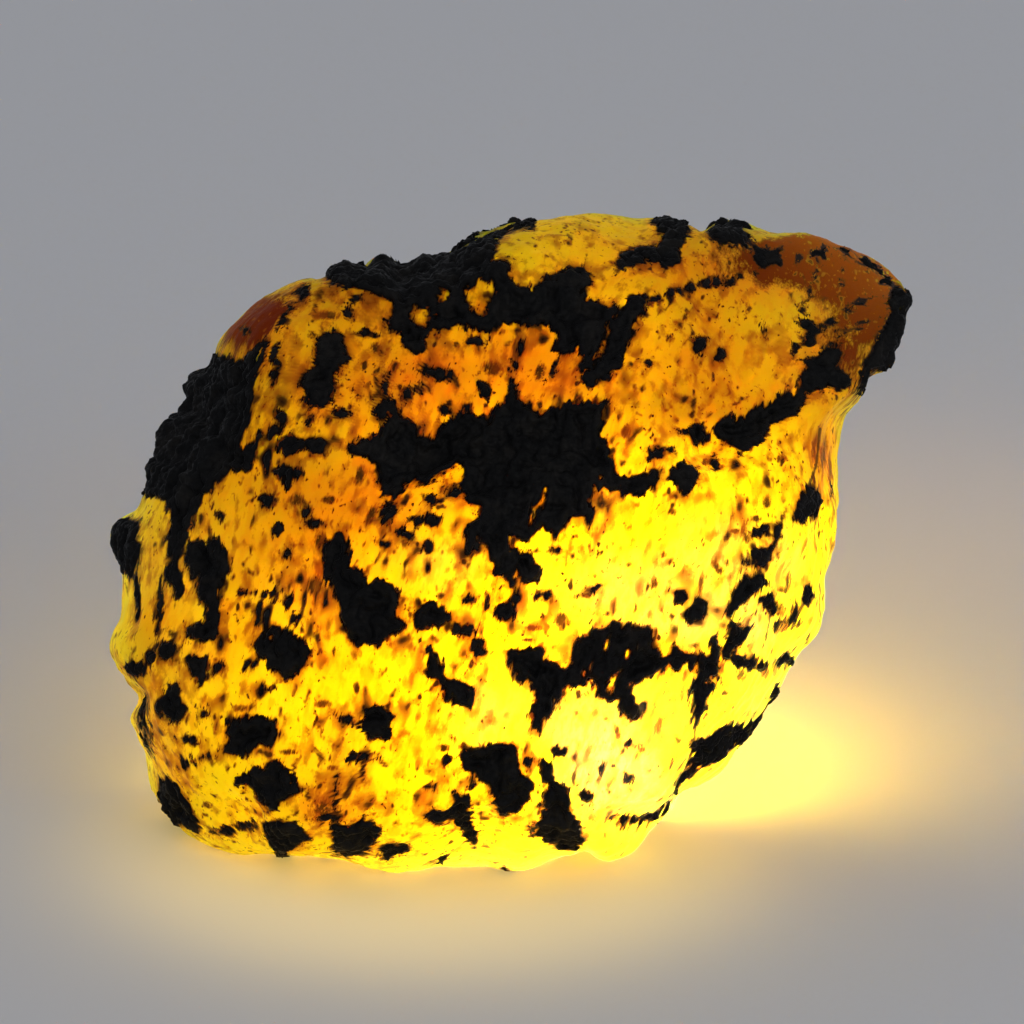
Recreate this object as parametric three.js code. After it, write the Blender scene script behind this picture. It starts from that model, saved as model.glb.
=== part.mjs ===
// Rough sapphire: one natural golden-yellow stone under patches of black mineral crust, about 40 mm long, as
// it rests on the broken-off flat at its base. Millimetres, +Z up, +X to the horn at its upper right, origin
// at the middle of the foot of its bounding box.
//
// The stone is star-shaped about its centre, so it is given by how far its surface lies along any direction.
// That is worked out in the stone's own axes, u to the right, v up and w out of the broad front face, which
// are then leaned back about the u axis, as the stone rests.

import * as THREE from "three";
import { mergeVertices } from "three/addons/utils/BufferGeometryUtils.js";

const { clamp, degToRad, smoothstep } = THREE.MathUtils;

// ---- driving dimensions, millimetres and degrees ----
const LEAN = degToRad(20); // how far the broad front face leans back from upright
const FRONT_DEPTH = 12.4; // centre to the front of the uncut body
const BACK_DEPTH = 12.8; // centre to the back of the uncut body
const BODY_POWER = 2.8; // 2 gives the uncut body an elliptical section, larger a boxier one
const EDGE_SHARPNESS = 40; // how crisply facets meet: larger is sharper
const REST_DEPTH = 13.3; // centre to the flat that the stone rests on
const SURFACE_DETAIL = 16; // cuts along each edge of an icosahedron: 20 * 17 * 17 faces in all
const EVENING_ROUNDS = 12; // how many times the faces are evened out

// The widest outline, seen square to the front face, anticlockwise from the right: [u, v].
const OUTLINE = [
  [16.6, 0.3], [16.9, 3.0], [16.9, 5.6], [17.1, 7.2], [18.3, 8.6], [19.4, 10.0], // up to under the horn
  [20.1, 11.8], [20.4, 13.1], [19.7, 14.3], [18.0, 15.2], [15.9, 16.2], // round the horn's end
  [13.0, 16.7], [10.0, 16.7], [7.0, 17.0], [4.0, 17.2], [1.0, 17.0], // along the top
  [-1.0, 16.2], [-2.7, 15.4], [-4.6, 14.8], [-6.6, 14.8], [-8.4, 14.4], [-10.2, 13.8], // down the shoulder
  [-12.2, 12.9], [-13.6, 11.7], [-14.5, 10.1], [-15.4, 8.7], [-16.6, 6.8], [-17.6, 4.6], // the left wall
  [-18.1, 2.6], [-19.1, 1.0], [-18.9, -0.8], [-18.9, -2.8], [-19.3, -4.4], [-18.7, -5.9], // the left corner
  [-18.1, -7.4], [-17.9, -9.2], [-17.4, -11.1], [-16.4, -12.7], [-14.9, -14.1], [-12.8, -14.8], // to the foot
  [-9.5, -15.0], [-5.5, -15.3], [-2.0, -15.2], [0.6, -15.4], [3.2, -14.8], [5.6, -14.8], // along the foot
  [7.4, -13.7], [9.4, -12.0], [11.2, -10.2], [12.9, -8.0], [13.9, -6.2], [15.1, -4.4], // the overhang
  [16.1, -2.5], [16.2, -1.0],
];

// Natural faces that cut the body: [outward normal u, v, w, distance from the centre].
const FACETS = [
  [0.06, -0.14, 1.0, 11.0], // lower front
  [-0.08, 0.36, 0.93, 11.4], // upper front
  [-0.42, -0.02, 0.9, 12.5], // left of the front
  [-0.8, 0.32, 0.5, 16.4], // left wall, beyond the left ridge
  [-0.6, 0.68, 0.42, 17.5], // upper left corner
  [0.02, 0.84, 0.54, 16.0], // front of the top
  [0.3, 0.48, 0.82, 14.2], // face of the horn
  [0.82, -0.29, 0.5, 16.1], // right side, beyond the right ridge
  [0.66, -0.68, 0.35, 15.9], // lower right
  [0.05, -0.76, 0.65, 15.6], // above the foot
  [-0.62, -0.6, 0.5, 18.6], // lower left corner
  [0.12, 0.05, -1.0, 11.0], // back
  [-0.6, 0.25, -0.76, 13.4], // back left
  [0.42, 0.38, -0.82, 13.8], // back of the horn
  [0.55, -0.4, -0.73, 12.6], // back right, above the foot
  [-0.1, 0.7, -0.7, 14.0], // back of the top
];

// Hollows in the front: [from u, v, to u, v, depth, half width].
const HOLLOWS = [
  [-6.0, 5.0, 4.5, 6.2, 0.6, 2.2], // the saddle across the middle
  [2.0, 10.0, 5.2, 10.4, 0.5, 1.6], // beside the horn's face
  [5.6, -12.9, 8.6, -12.4, 0.6, 0.7], // the nick above the knob at the lower right
];

// The horn stands proud of the front below it by a ledge, along a line rising to the right.
const LEDGE = { from: [8.0, 5.2], to: [20.2, 11.4], depth: 1.2, step: 0.8, reach: 3.5 };

// Gentle swells all over, as waves: [radians per mm along u, v, w, phase, height].
const SWELLS = [
  [0.42, 0.31, 0.35, 0.4, 0.16],
  [-0.41, 0.5, 0.44, 1.9, 0.15],
  [0.52, -0.35, 0.61, 3.1, 0.14],
  [0.95, 0.5, -0.72, 5.0, 0.09],
  [-0.7, 0.92, 0.9, 2.2, 0.09],
  [0.9, -0.8, 0.3, 4.2, 0.09],
];

// ---- the surface ----

const outlineKnots = OUTLINE.map(([u, v]) => ({ angle: Math.atan2(v, u), radius: Math.hypot(u, v) }));
outlineKnots.sort((a, b) => a.angle - b.angle);

// The outline's knot at an index of its endless repeat.
function knot(index) {
  const count = outlineKnots.length;
  const turns = Math.floor(index / count);
  const { angle, radius } = outlineKnots[index - turns * count];
  return { angle: angle + turns * 2 * Math.PI, radius };
}

// Radius of the outline at an angle: a cubic from knot to knot, and its slope at each knot is that of the
// line between the two knots beside it.
function outlineRadius(angle) {
  const next = outlineKnots.findIndex((k) => k.angle > angle);
  const start = next === -1 ? outlineKnots.length - 1 : next - 1;
  const [before, from, to, after] = [knot(start - 1), knot(start), knot(start + 1), knot(start + 2)];
  const span = to.angle - from.angle;
  const rise = to.radius - from.radius;
  const slopeFrom = ((to.radius - before.radius) / (to.angle - before.angle)) * span;
  const slopeTo = ((after.radius - from.radius) / (after.angle - from.angle)) * span;
  const t = (angle - from.angle) / span;
  const bend = 3 * rise - 2 * slopeFrom - slopeTo;
  const twist = slopeFrom + slopeTo - 2 * rise;
  return from.radius + t * (slopeFrom + t * (bend + t * twist));
}

// Where (u, v) lies beside the line between two points: how far along it, as a share of its length, how
// many mm along it, and how many mm to its left.
function besideLine(u, v, [u0, v0], [u1, v1]) {
  const length = Math.hypot(u1 - u0, v1 - v0);
  const [du, dv] = [(u1 - u0) / length, (v1 - v0) / length];
  const along = (u - u0) * du + (v - v0) * dv;
  return { share: along / length, along, left: (v - v0) * du - (u - u0) * dv };
}

// How much lower the hollows make the surface at (u, v): each is a soft trough with round ends.
function hollowDepth(u, v) {
  return HOLLOWS.reduce((depth, [u0, v0, u1, v1, deep, halfWidth]) => {
    const share = clamp(besideLine(u, v, [u0, v0], [u1, v1]).share, 0, 1);
    const off = Math.hypot(u - u0 - share * (u1 - u0), v - v0 - share * (v1 - v0)) / halfWidth;
    return depth + deep * Math.exp(-off * off);
  }, 0);
}

// How much lower the surface is below the ledge: a soft step down, which fades away below it.
function ledgeDepth(u, v) {
  const { along, left } = besideLine(u, v, LEDGE.from, LEDGE.to);
  const below = Math.max(-left, 0) / LEDGE.reach;
  const stepDown = smoothstep(-left, -LEDGE.step, LEDGE.step) * Math.exp(-below * below);
  return LEDGE.depth * stepDown * smoothstep(along, 0, LEDGE.reach);
}

// Distance from the centre to the surface along a unit direction. The uncut body is a superellipse on the
// outline. Body and facets are joined by a soft minimum, 1 / r = (sum of (1 / r_i)^k)^(1 / k), and the flat
// that the stone rests on is cut straight.
function surfaceDistance({ x: u, y: v, z: w }) {
  const depth = w >= 0 ? FRONT_DEPTH : BACK_DEPTH;
  const acrossShare = Math.hypot(u, v) / outlineRadius(Math.atan2(v, u));
  const body = (acrossShare ** BODY_POWER + (Math.abs(w) / depth) ** BODY_POWER) ** (1 / BODY_POWER);
  const cuts = FACETS.map(([nu, nv, nw, distance]) => {
    const towards = (nu * u + nv * v + nw * w) / (Math.hypot(nu, nv, nw) * distance);
    return Math.max(towards, 0) ** EDGE_SHARPNESS;
  });
  const total = cuts.reduce((sum, cut) => sum + cut, body ** EDGE_SHARPNESS);
  const faceted = total ** (-1 / EDGE_SHARPNESS);
  const swell = SWELLS.reduce(
    (sum, [ku, kv, kw, phase, height]) => sum + height * Math.sin((ku * u + kv * v + kw * w) * faceted + phase),
    0,
  );
  const [surfaceU, surfaceV] = [u * faceted, v * faceted];
  const front = smoothstep(w, 0, 0.35); // hollows and ledge fade out towards the sides
  const rough = faceted + swell - front * (hollowDepth(surfaceU, surfaceV) + ledgeDepth(surfaceU, surfaceV));
  const down = -(v * Math.cos(LEAN) + w * Math.sin(LEAN));
  return down > 0 ? Math.min(rough, REST_DEPTH / down) : rough;
}

// ---- the solid ----

// The point of the surface in the direction of any other point.
function onSurface(towards) {
  const direction = towards.clone().normalize();
  return direction.multiplyScalar(surfaceDistance(direction));
}

// For each vertex of an indexed mesh, the vertices that share a face with it.
function neighbourLists(geometry) {
  const lists = Array.from({ length: geometry.getAttribute("position").count }, () => new Set());
  const corners = geometry.index.array;
  for (let face = 0; face < corners.length; face += 3) {
    const [a, b, c] = corners.slice(face, face + 3);
    lists[a].add(b).add(c);
    lists[b].add(c).add(a);
    lists[c].add(a).add(b);
  }
  return lists.map((list) => [...list]);
}

// The mean of some of the points.
function meanPoint(points, indices) {
  const sum = indices.reduce((total, i) => total.add(points[i]), new THREE.Vector3());
  return sum.divideScalar(indices.length);
}

// A ball's vertices are put on the stone, and each then slides towards the middle of its neighbours a few
// times over, which evens out the faces where the surface is steep.
function stoneGeometry() {
  const ball = new THREE.IcosahedronGeometry(1, SURFACE_DETAIL);
  ball.deleteAttribute("normal");
  ball.deleteAttribute("uv");
  const geometry = mergeVertices(ball);
  const position = geometry.getAttribute("position");
  const neighbours = neighbourLists(geometry);
  let points = neighbours.map((_, i) => onSurface(new THREE.Vector3().fromBufferAttribute(position, i)));
  for (let round = 0; round < EVENING_ROUNDS; round++) {
    points = neighbours.map((indices) => onSurface(meanPoint(points, indices)));
  }
  geometry.setFromPoints(points);
  geometry.rotateX(Math.PI / 2 - LEAN);
  geometry.computeBoundingBox();
  const middle = geometry.boundingBox.getCenter(new THREE.Vector3());
  return geometry.translate(-middle.x, -middle.y, REST_DEPTH);
}

const crystal = new THREE.MeshStandardMaterial({ color: 0xe0a008, roughness: 0.55, metalness: 0 });
const stone = new THREE.Mesh(stoneGeometry(), crystal);
stone.name = "rough_sapphire";

const group = new THREE.Group();
group.add(stone);

export default group;
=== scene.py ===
"""Rough sapphire: a golden, translucent stone under patches of black crust.

All shapes are worked out in the stone's own axes, in millimetres: u to the right, v up and w out of the broad
front face, from the stone's centre. They are then leaned back about u, as the stone rests, and moved into
the frame, in metres.
"""

import itertools
import math

import bpy
import numpy as np
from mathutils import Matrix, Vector


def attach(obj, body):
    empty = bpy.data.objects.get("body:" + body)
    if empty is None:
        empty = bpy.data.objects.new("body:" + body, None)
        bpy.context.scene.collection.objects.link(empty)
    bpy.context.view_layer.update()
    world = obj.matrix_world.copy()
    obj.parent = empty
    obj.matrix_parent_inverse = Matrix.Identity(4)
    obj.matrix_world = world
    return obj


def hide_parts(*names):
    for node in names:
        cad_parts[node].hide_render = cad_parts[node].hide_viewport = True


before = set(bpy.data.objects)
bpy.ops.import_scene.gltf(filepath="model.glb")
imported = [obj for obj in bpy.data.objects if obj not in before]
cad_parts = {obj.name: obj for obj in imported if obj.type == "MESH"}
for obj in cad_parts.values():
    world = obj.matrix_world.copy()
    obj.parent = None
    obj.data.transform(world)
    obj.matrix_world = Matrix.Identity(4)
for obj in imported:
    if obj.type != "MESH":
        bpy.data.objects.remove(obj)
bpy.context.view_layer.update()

# ---- the stone, in millimetres and degrees ----
LEAN = math.radians(20)
FRONT_DEPTH = 12.4
BACK_DEPTH = 12.8
BODY_POWER = 2.8
EDGE_SHARPNESS = 40.0
REST_DEPTH = 13.3

# Where it is seen from, square to the front: u, v, distance, and the width seen.
VIEW_U, VIEW_V, VIEW_DISTANCE, VIEW_WIDTH = 0.6, 2.4, 600.0, 51.2
VIEW_GROWTH = 0.016  # how much larger the front of the stone looks from there than its middle

# The widest outline, seen square to the front face, anticlockwise from the right: u, v.
OUTLINE = [
    (16.6, 0.3), (16.9, 3), (16.9, 5.6), (17.1, 7.2), (18.3, 8.6), (19.4, 10), (20.1, 11.8), (20.4, 13.1),
    (19.7, 14.3), (18, 15.2), (15.9, 16.2), (13, 16.7), (10, 16.7), (7, 17), (4, 17.2), (1, 17),
    (-1, 16.2), (-2.7, 15.4), (-4.6, 14.8), (-6.6, 14.8), (-8.4, 14.4), (-10.2, 13.8), (-12.2, 12.9),
    (-13.6, 11.7), (-14.5, 10.1), (-15.4, 8.7), (-16.6, 6.8), (-17.6, 4.6), (-18.1, 2.6), (-19.1, 1),
    (-18.9, -0.8), (-18.9, -2.8), (-19.3, -4.4), (-18.7, -5.9), (-18.1, -7.4), (-17.9, -9.2),
    (-17.4, -11.1), (-16.4, -12.7), (-14.9, -14.1), (-12.8, -14.8), (-9.5, -15), (-5.5, -15.3),
    (-2, -15.2), (0.6, -15.4), (3.2, -14.8), (5.6, -14.8), (7.4, -13.7), (9.4, -12), (11.2, -10.2),
    (12.9, -8), (13.9, -6.2), (15.1, -4.4), (16.1, -2.5), (16.2, -1),
]  # fmt: skip

# Natural faces that cut the body: outward normal u, v, w, and distance from the centre.
FACETS = [
    (0.06, -0.14, 1.0, 11.0),  # lower front
    (-0.08, 0.36, 0.93, 11.4),  # upper front
    (-0.42, -0.02, 0.9, 12.5),  # left of the front
    (-0.8, 0.32, 0.5, 16.4),  # left wall
    (-0.6, 0.68, 0.42, 17.5),  # upper left corner
    (0.02, 0.84, 0.54, 16.0),  # front of the top
    (0.3, 0.48, 0.82, 14.2),  # face of the horn
    (0.82, -0.29, 0.5, 16.1),  # right side
    (0.66, -0.68, 0.35, 15.9),  # lower right
    (0.05, -0.76, 0.65, 15.6),  # above the foot
    (-0.62, -0.6, 0.5, 18.6),  # lower left corner
    (0.12, 0.05, -1.0, 11.0),  # back
    (-0.6, 0.25, -0.76, 13.4),  # back left
    (0.42, 0.38, -0.82, 13.8),  # back of the horn
    (0.55, -0.4, -0.73, 12.6),  # back right
    (-0.1, 0.7, -0.7, 14.0),  # back of the top
]

# Hollows in the front: from u, v, to u, v, depth, half width.
HOLLOWS = [
    (-6.0, 5.0, 4.5, 6.2, 0.6, 2.2),
    (2.0, 10.0, 5.2, 10.4, 0.5, 1.6),
    (5.6, -12.9, 8.6, -12.4, 0.6, 0.7),
]

# The ledge under the horn: from u, v, to u, v, depth, half width of the step, reach below it.
LEDGE = (8.0, 5.2, 20.2, 11.4, 1.2, 0.8, 3.5)

# Gentle swells, as waves: radians per mm along u, v, w, phase, height.
SWELLS = [
    (0.42, 0.31, 0.35, 0.4, 0.16),
    (-0.41, 0.5, 0.44, 1.9, 0.15),
    (0.52, -0.35, 0.61, 3.1, 0.14),
    (0.95, 0.5, -0.72, 5.0, 0.09),
    (-0.7, 0.92, 0.9, 2.2, 0.09),
    (0.9, -0.8, 0.3, 4.2, 0.09),
]

# Places where the outline swells or dips: u, v, reach, height.
NODULES = [
    (-18.8, 1.3, 1.4, 0.95), (-15.5, 7.7, 0.8, -0.65), (-15.9, 9, 0.9, 0.25), (-17.7, 4.8, 1, 0.3),
    (-16.5, 6.8, 0.7, 0.2), (-7.9, 14.6, 0.8, 0.15), (-5.9, 15, 1, 0.2), (-3.7, 15.1, 0.7, 0.2),
    (-1.4, 16.2, 0.8, 0.25), (-14.6, 9.9, 0.5, -0.3), (18.7, 8.9, 0.5, -0.6), (16.9, 4.8, 2, -0.3),
    (16.3, -2, 1.4, -0.3), (9.4, -12, 0.6, -0.4), (-8.9, 14.4, 0.6, -0.5), (-6.8, 14.9, 0.6, -0.35),
    (-4.8, 15, 0.6, -0.35), (-2.9, 15.5, 0.6, -0.25), (6.5, 17.3, 1.5, -0.45), (11.5, 17, 1.2, 0.35),
    (16.7, 0.4, 1.4, -0.5), (14.9, -4.6, 1.2, -0.4), (9.9, -11.8, 1.2, -0.4), (4.2, -14.8, 0.5, -0.6),
    (5.7, -14.4, 1.2, 0.35), (1.2, -15.3, 1.4, 0.4), (-15.3, -13.9, 1.2, -0.3), (-17.7, -10.4, 1, -0.3),
    (-18.3, -7.8, 0.6, 0.35), (-17.8, -6.8, 0.6, -0.6), (-18.9, -2.6, 1.2, -0.25), (18.9, 9.6, 0.7, 0.3),
    (17.8, 7.8, 0.8, 0.2), (19.5, 14.2, 1, -0.2), (-10.8, -15.2, 0.5, 0.45), (10.1, 16.6, 0.5, -0.3),
    (-10, 14.2, 1.4, -0.2),
]  # fmt: skip

STREAK_TURN = math.radians(16)  # how far the stone's fibres lean to the right of v
STREAK = np.array([math.sin(STREAK_TURN), math.cos(STREAK_TURN), 0.0])

# ---- the crust, as seen square to the front from VIEW_DISTANCE ----
# The larger patches, each an outline: u, v of a point, u, v of the next, and so on.
PATCHES = [
    # the saddle across the middle
    (-7.7, 5.8, -7, 6, -6.3, 6.1, -5.9, 6.8, -6.4, 7.4, -5.9, 8.1, -5.3, 7.9, -5.2, 7.5, -4.8, 7.2,
     -4, 6.6, -3.9, 6.1, -3.3, 6.1, -3, 6.6, -2.2, 7.1, -2, 7.5, -1.6, 7.6, -1.4, 7.3, -0.9, 7.3,
     -0.6, 6.9, -0.2, 7.6, 0.3, 7.9, 0.4, 8.8, 0.6, 9.1, 0.8, 8.6, 0.9, 8, 1.4, 7.8, 1.8, 7.4, 2.6, 7.5,
     3.2, 7.7, 4, 7.8, 5.1, 7.9, 5.4, 8.2, 5.1, 7.2, 5.3, 6.8, 5, 6.3, 5.1, 5.8, 5.6, 5.4, 5.7, 4.5,
     6.4, 4.1, 7.5, 4.4, 8, 4.4, 7.9, 3.7, 7.3, 3.4, 6.4, 3.3, 5.6, 3.5, 5.1, 3.7, 4.7, 3.6, 4.5, 3.2,
     4.2, 2.6, 4.7, 2.4, 4.4, 1.6, 4.1, 2.2, 3.5, 2.2, 3.2, 1.7, 2.8, 1.1, 2.6, 1.6, 2.2, 1.8, 1.9, 1.6,
     1.7, 1.1, 0.5, 1.1, 0.5, 0.6, 0.9, 0.3, 1.3, 0.4, 1.6, -0.1, 2, -0.4, 2.1, -0.8, 1.8, -1.1, 1.2, -1.1,
     0.9, -0.8, 0.7, -1.3, 0.3, -1.2, 0, -0.9, -0.4, -0.5, -0.4, 0.2, -0.6, 0.7, -1, 1.1, -1.5, 0.2,
     -1.8, 1.1, -1.7, 1.7, -1.3, 1.9, -1, 2.2, -1.1, 2.7, -1.6, 3, -1.8, 3.3, -2.4, 3.2, -2.9, 3.4,
     -2.3, 3.6, -1.9, 3.6, -1.8, 4.7, -2.4, 4.6, -3, 4.2, -3.6, 3.8, -4.5, 4, -5, 3.5, -5.3, 3.2,
     -5.8, 3.2, -6.2, 4.4, -6.4, 5.2, -7.4, 5.1),
    # the band along the top
    (-8.9, 14.9, -8.6, 14.1, -8.5, 13.8, -7.1, 13.6, -6.3, 13.3, -5.2, 12.9, -5.5, 12.1, -5.9, 12,
     -5, 11.4, -4.7, 10.6, -4.4, 10.4, -3.8, 10.7, -3.5, 11.4, -2.2, 11.7, -0.7, 11.5, 0.4, 11.7,
     1.7, 11.8, 2.5, 12, 2.8, 11.1, 2.6, 10.5, 3.4, 10.3, 4, 10.5, 4, 9.6, 4.1, 8.9, 4.6, 8.7, 5.2, 9.1,
     6.1, 9.8, 6.4, 10.9, 6.8, 11.8, 7.3, 12.9, 6.4, 13, 5.9, 12.6, 5.1, 12.8, 4.3, 13, 4.4, 13.6,
     4.6, 14.3, 4.1, 14.9, 3.5, 14.6, 2.8, 14.2, 1.9, 13.9, 1.6, 13.5, 0.6, 13.9, 0.5, 14.6, 0.3, 15,
     -0.4, 15, -0.2, 15.9, 0.6, 16.5, 1.8, 16.6, 1.8, 17.6, -3, 17, -6, 16.2),
    # the left wall
    (-19.5, 3.4, -17.7, 3.2, -17.2, 3.1, -16.7, 3, -16.5, 2.2, -16.5, 1.2, -16.5, 0.3, -16.8, -0.8,
     -16.2, -1.9, -15.7, -1.6, -16, -0.8, -16.1, -0.2, -15.8, 0.6, -15.4, 1.9, -14.9, 3, -14.2, 3.9,
     -13.6, 4.5, -13.1, 4.3, -12.5, 4.3, -12.1, 5.6, -11.6, 6.4, -12.1, 6.3, -12.6, 5.7, -12.9, 5.5,
     -13, 6.1, -12.6, 6.9, -12.4, 8, -12.3, 9, -12.1, 10, -11.5, 10.8, -11.7, 11.2, -12.4, 10.5,
     -13.1, 9.9, -13.8, 10.1, -14.6, 10.4, -17, 10),
    # under the horn, near part
    (8.9, 6.4, 9.5, 6.7, 10.2, 6.8, 10.4, 6.1, 10, 5.8, 9.4, 6),
    # under the horn
    (10.7, 6.4, 10.9, 7, 12, 7.1, 12.9, 7.5, 13.7, 7.9, 14, 8.3, 14.8, 8.5, 15.1, 9.1, 15.4, 9.9, 16, 10.4,
     16.5, 10.8, 17.1, 10.6, 17.1, 10, 16.9, 9.6, 17.5, 9.2, 17.6, 8.8, 16.9, 8.5, 16.4, 8.7, 15.9, 8.5,
     15.2, 8.3, 15, 7.4, 14.4, 7.2, 13.5, 6.8, 13.2, 6.1, 12.4, 5.5, 11.9, 5.4, 11.4, 5.7),
    # the horn's edge
    (19.4, 13.4, 20, 13.8, 20.9, 13.2, 20.9, 11, 20.2, 9, 19, 9.6, 18.6, 9.5, 18.4, 8.7, 17.8, 8.2,
     18, 9.1, 18.4, 10, 18.8, 11, 19.3, 11.7, 19.5, 12.4),
    # ring on the horn
    (14.8, 11.9, 15.6, 12, 15.9, 11.5, 15.6, 10.7, 15.2, 10.8, 15.4, 11.5, 15, 11.6),
    # top, right
    (7.6, 17.4, 9.4, 17.4, 9.4, 16.2, 9, 15.7, 8.9, 14.9, 8.2, 14.5, 7.9, 14.9, 7.3, 15, 6.6, 14.8,
     5.8, 14.4, 5.7, 14.7, 6.2, 15.4, 7, 15.7, 7.9, 15.7, 8.2, 16.3, 7.8, 16.6),
    (10.2, 17.3, 12.6, 17.3, 12.7, 16.6, 12.4, 16, 12.2, 15.5, 11.7, 15.6, 10.9, 15.8, 10.3, 16.2),
    (12.6, 15.7, 14.1, 15.7, 14.1, 14.8, 12.9, 14.7),
    (-9, 11.1, -8.4, 11.6, -8, 11.1, -7.7, 10.6, -7.6, 10.1, -8, 9.6, -8.3, 9.2, -8.3, 8.6, -8.4, 7.9,
     -9.1, 7.7, -9.7, 7.7, -9.9, 8.4, -9.9, 9.2, -9.5, 9.6, -9.2, 9.9, -9.3, 10.5),
    (-11.1, 5.4, -10.9, 6.2, -10.4, 6.4, -9.8, 6.1, -9.1, 6.1, -8.5, 5.8, -8.9, 5.4, -9.7, 5.5, -10.4, 5.3,
     -10.8, 5.1),
    (-11.3, 4.5, -10.9, 4.8, -10.1, 4.8, -9.8, 4.3, -10.5, 3.8, -10.8, 3.6, -11, 4.1),
    # left of the middle, hooked
    (-15.6, 0.7, -14.9, 1, -14.1, 1.1, -13.6, 0.3, -13.5, -0.6, -13.9, -1.4, -14.1, -2.5, -14.2, -4,
     -15.5, -4, -15.6, -3.4, -14.7, -3.1, -14.6, -2.5, -15.1, -1.4, -15.3, -0.8, -15.7, -0.1),
    # left of the middle, large
    (-8.8, 0.8, -8.2, 1.2, -7.5, 1, -7.6, -0.1, -6.9, -0.8, -6.6, -1.1, -5.7, -1, -5.2, -1.4, -5.1, -2.2,
     -5.2, -2.7, -4.7, -3.3, -5.5, -3.8, -5.7, -4.1, -7.2, -4.3, -7.6, -3.8, -7.9, -2.9, -8.3, -1.6,
     -8.9, -0.8, -8.9, -0.1),
    (-12.2, -3.8, -11.5, -3.5, -10.9, -3.4, -10, -3.9, -9.5, -4.6, -9.8, -5.3, -10.3, -5.7, -10.6, -6.2,
     -11.1, -5.6, -11.7, -5.2, -12.1, -4.8, -12.4, -4.2),
    (-13.6, -8, -13, -8.1, -12, -7.8, -11.3, -8.2, -11, -8.7, -11.5, -9.2, -12.1, -9.3, -12.8, -9.8,
     -13.9, -9.6, -13.6, -8.9),
    (-12.6, -10.5, -11.9, -10.4, -11.5, -10.2, -11.1, -10.2, -10.6, -10.5, -10.4, -11.1, -9.7, -11.3,
     -10, -11.6, -10.6, -11.7, -11.1, -12.4, -11.5, -12.4, -12.1, -11.8, -12.5, -11.3, -13.2, -11.1),
    (-11.8, -13.2, -11.3, -13, -10.6, -13.1, -10, -13.5, -9.5, -14, -10.2, -14.3, -10.9, -15, -11.2, -14.6,
     -11.7, -13.9),
    (-8.6, -13, -8.1, -13.2, -7.6, -13.3, -6.8, -12.9, -6, -13.4, -6.1, -14.1, -6.8, -14.7, -7.6, -14.7,
     -8.5, -14.6, -8.3, -14),
    (-6, -14.5, -5.5, -14.2, -4.6, -14.2, -4.7, -14.7, -5.3, -14.8, -5.5, -15.1, -5.9, -14.9),
    (-7.2, -8.1, -6.8, -7.4, -5.9, -7.4, -5.4, -7.9, -5.6, -8.9, -6.4, -8.9, -7.1, -8.6),
    (-3.5, -4.6, -3, -5.1, -2.7, -5.9, -2.1, -6.1, -1.2, -6.4, -1.5, -7.2, -2.3, -7.2, -2.7, -6.8,
     -3.1, -6.1, -3.6, -5.9),
    (-4.4, -2.7, -4, -2.4, -3.4, -2.1, -2.9, -2.4, -2.5, -2.9, -3, -3.4, -3.4, -3.1, -3.8, -3.5,
     -4.3, -3.4),
    (-3.8, -12.7, -3.4, -12.4, -2.6, -12.6, -2.3, -11.7, -1.6, -11.8, -1.5, -12.6, -1.2, -13.6,
     -1.2, -14.3, -1.9, -13.6, -2.4, -12.9, -2.9, -13.2, -3.5, -13.1),
    (-16.6, -6.1, -16.2, -6.2, -16.1, -7, -15.7, -7.6, -16.2, -8.1, -16.9, -7.9, -17, -7),
    (-15.6, -5, -14.7, -4.9, -14.7, -5.8, -15, -6.2, -15.2, -5.8),
    (-17.1, -11, -16.1, -11.3, -15.5, -12.4, -15.1, -13.4, -15.3, -13.8, -16.4, -13.2, -17, -12),
    # the bar across the lower middle
    (3.8, -4.1, 4.1, -3.9, 4.8, -3.5, 5.3, -3.2, 5.9, -3.1, 6.1, -3.3, 6.7, -3.2, 7.1, -3.4, 7.5, -3.5,
     7.5, -4.1, 7.9, -4.6, 8.1, -4.9, 8.4, -4.8, 8.6, -4.3, 8.8, -4.2, 9, -4.5, 9.4, -4.5, 9.5, -4.3,
     9.8, -4.7, 9.8, -5, 9.6, -5.5, 9.4, -5, 9.1, -5.1, 8.9, -5.4, 8.5, -5.3, 8.2, -5.7, 7.6, -5.7,
     7.2, -5.8, 6.9, -6.1, 6.6, -6.2, 6.5, -6.7, 6.9, -7, 7.2, -7.1, 7.1, -7.5, 7, -7.9, 6.3, -7.8,
     6.1, -7.5, 6, -7, 5.5, -7.1, 4.9, -6.7, 4.6, -6.1, 3.9, -6.2, 3.1, -6.4, 2.8, -7, 2.6, -7.6,
     2.1, -8.2, 2, -8.6, 1.5, -8.5, 1.6, -7.2, 1.9, -6.6, 1.5, -6.1, 0.9, -5.9, 0.4, -5.3, 0.5, -4.6,
     1.3, -4.5, 2.1, -4.4, 2.4, -5.1, 2.8, -5.4, 3.6, -5.3, 3.7, -4.7),
    # the right ridge, below
    (10, -4.5, 10.4, -4.7, 10.5, -4.3, 10.7, -3.8, 10.9, -4.2, 11, -4.5, 11.3, -4.7, 11.4, -4.2,
     11.4, -3.7, 11.5, -3.3, 11.6, -3.1, 12.1, -3.3, 12.6, -3.3, 12.4, -3.8, 12.1, -4.1, 11.9, -4.3,
     11.7, -4.8, 12, -4.9, 12.6, -4.8, 12.9, -5, 13.2, -5.1, 13.4, -5.3, 13.1, -5.5, 12.1, -5.4,
     11.6, -5.1, 11.1, -5.2, 10.9, -5.8, 10.5, -5.8, 10.3, -6.1, 10.6, -6.4, 10.4, -6.9, 10.2, -7.2,
     9.9, -8, 9.8, -8.6, 9.6, -8.2, 9.6, -7.4, 9.7, -6.4, 9.9, -5.4),
    # the right ridge, above
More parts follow.
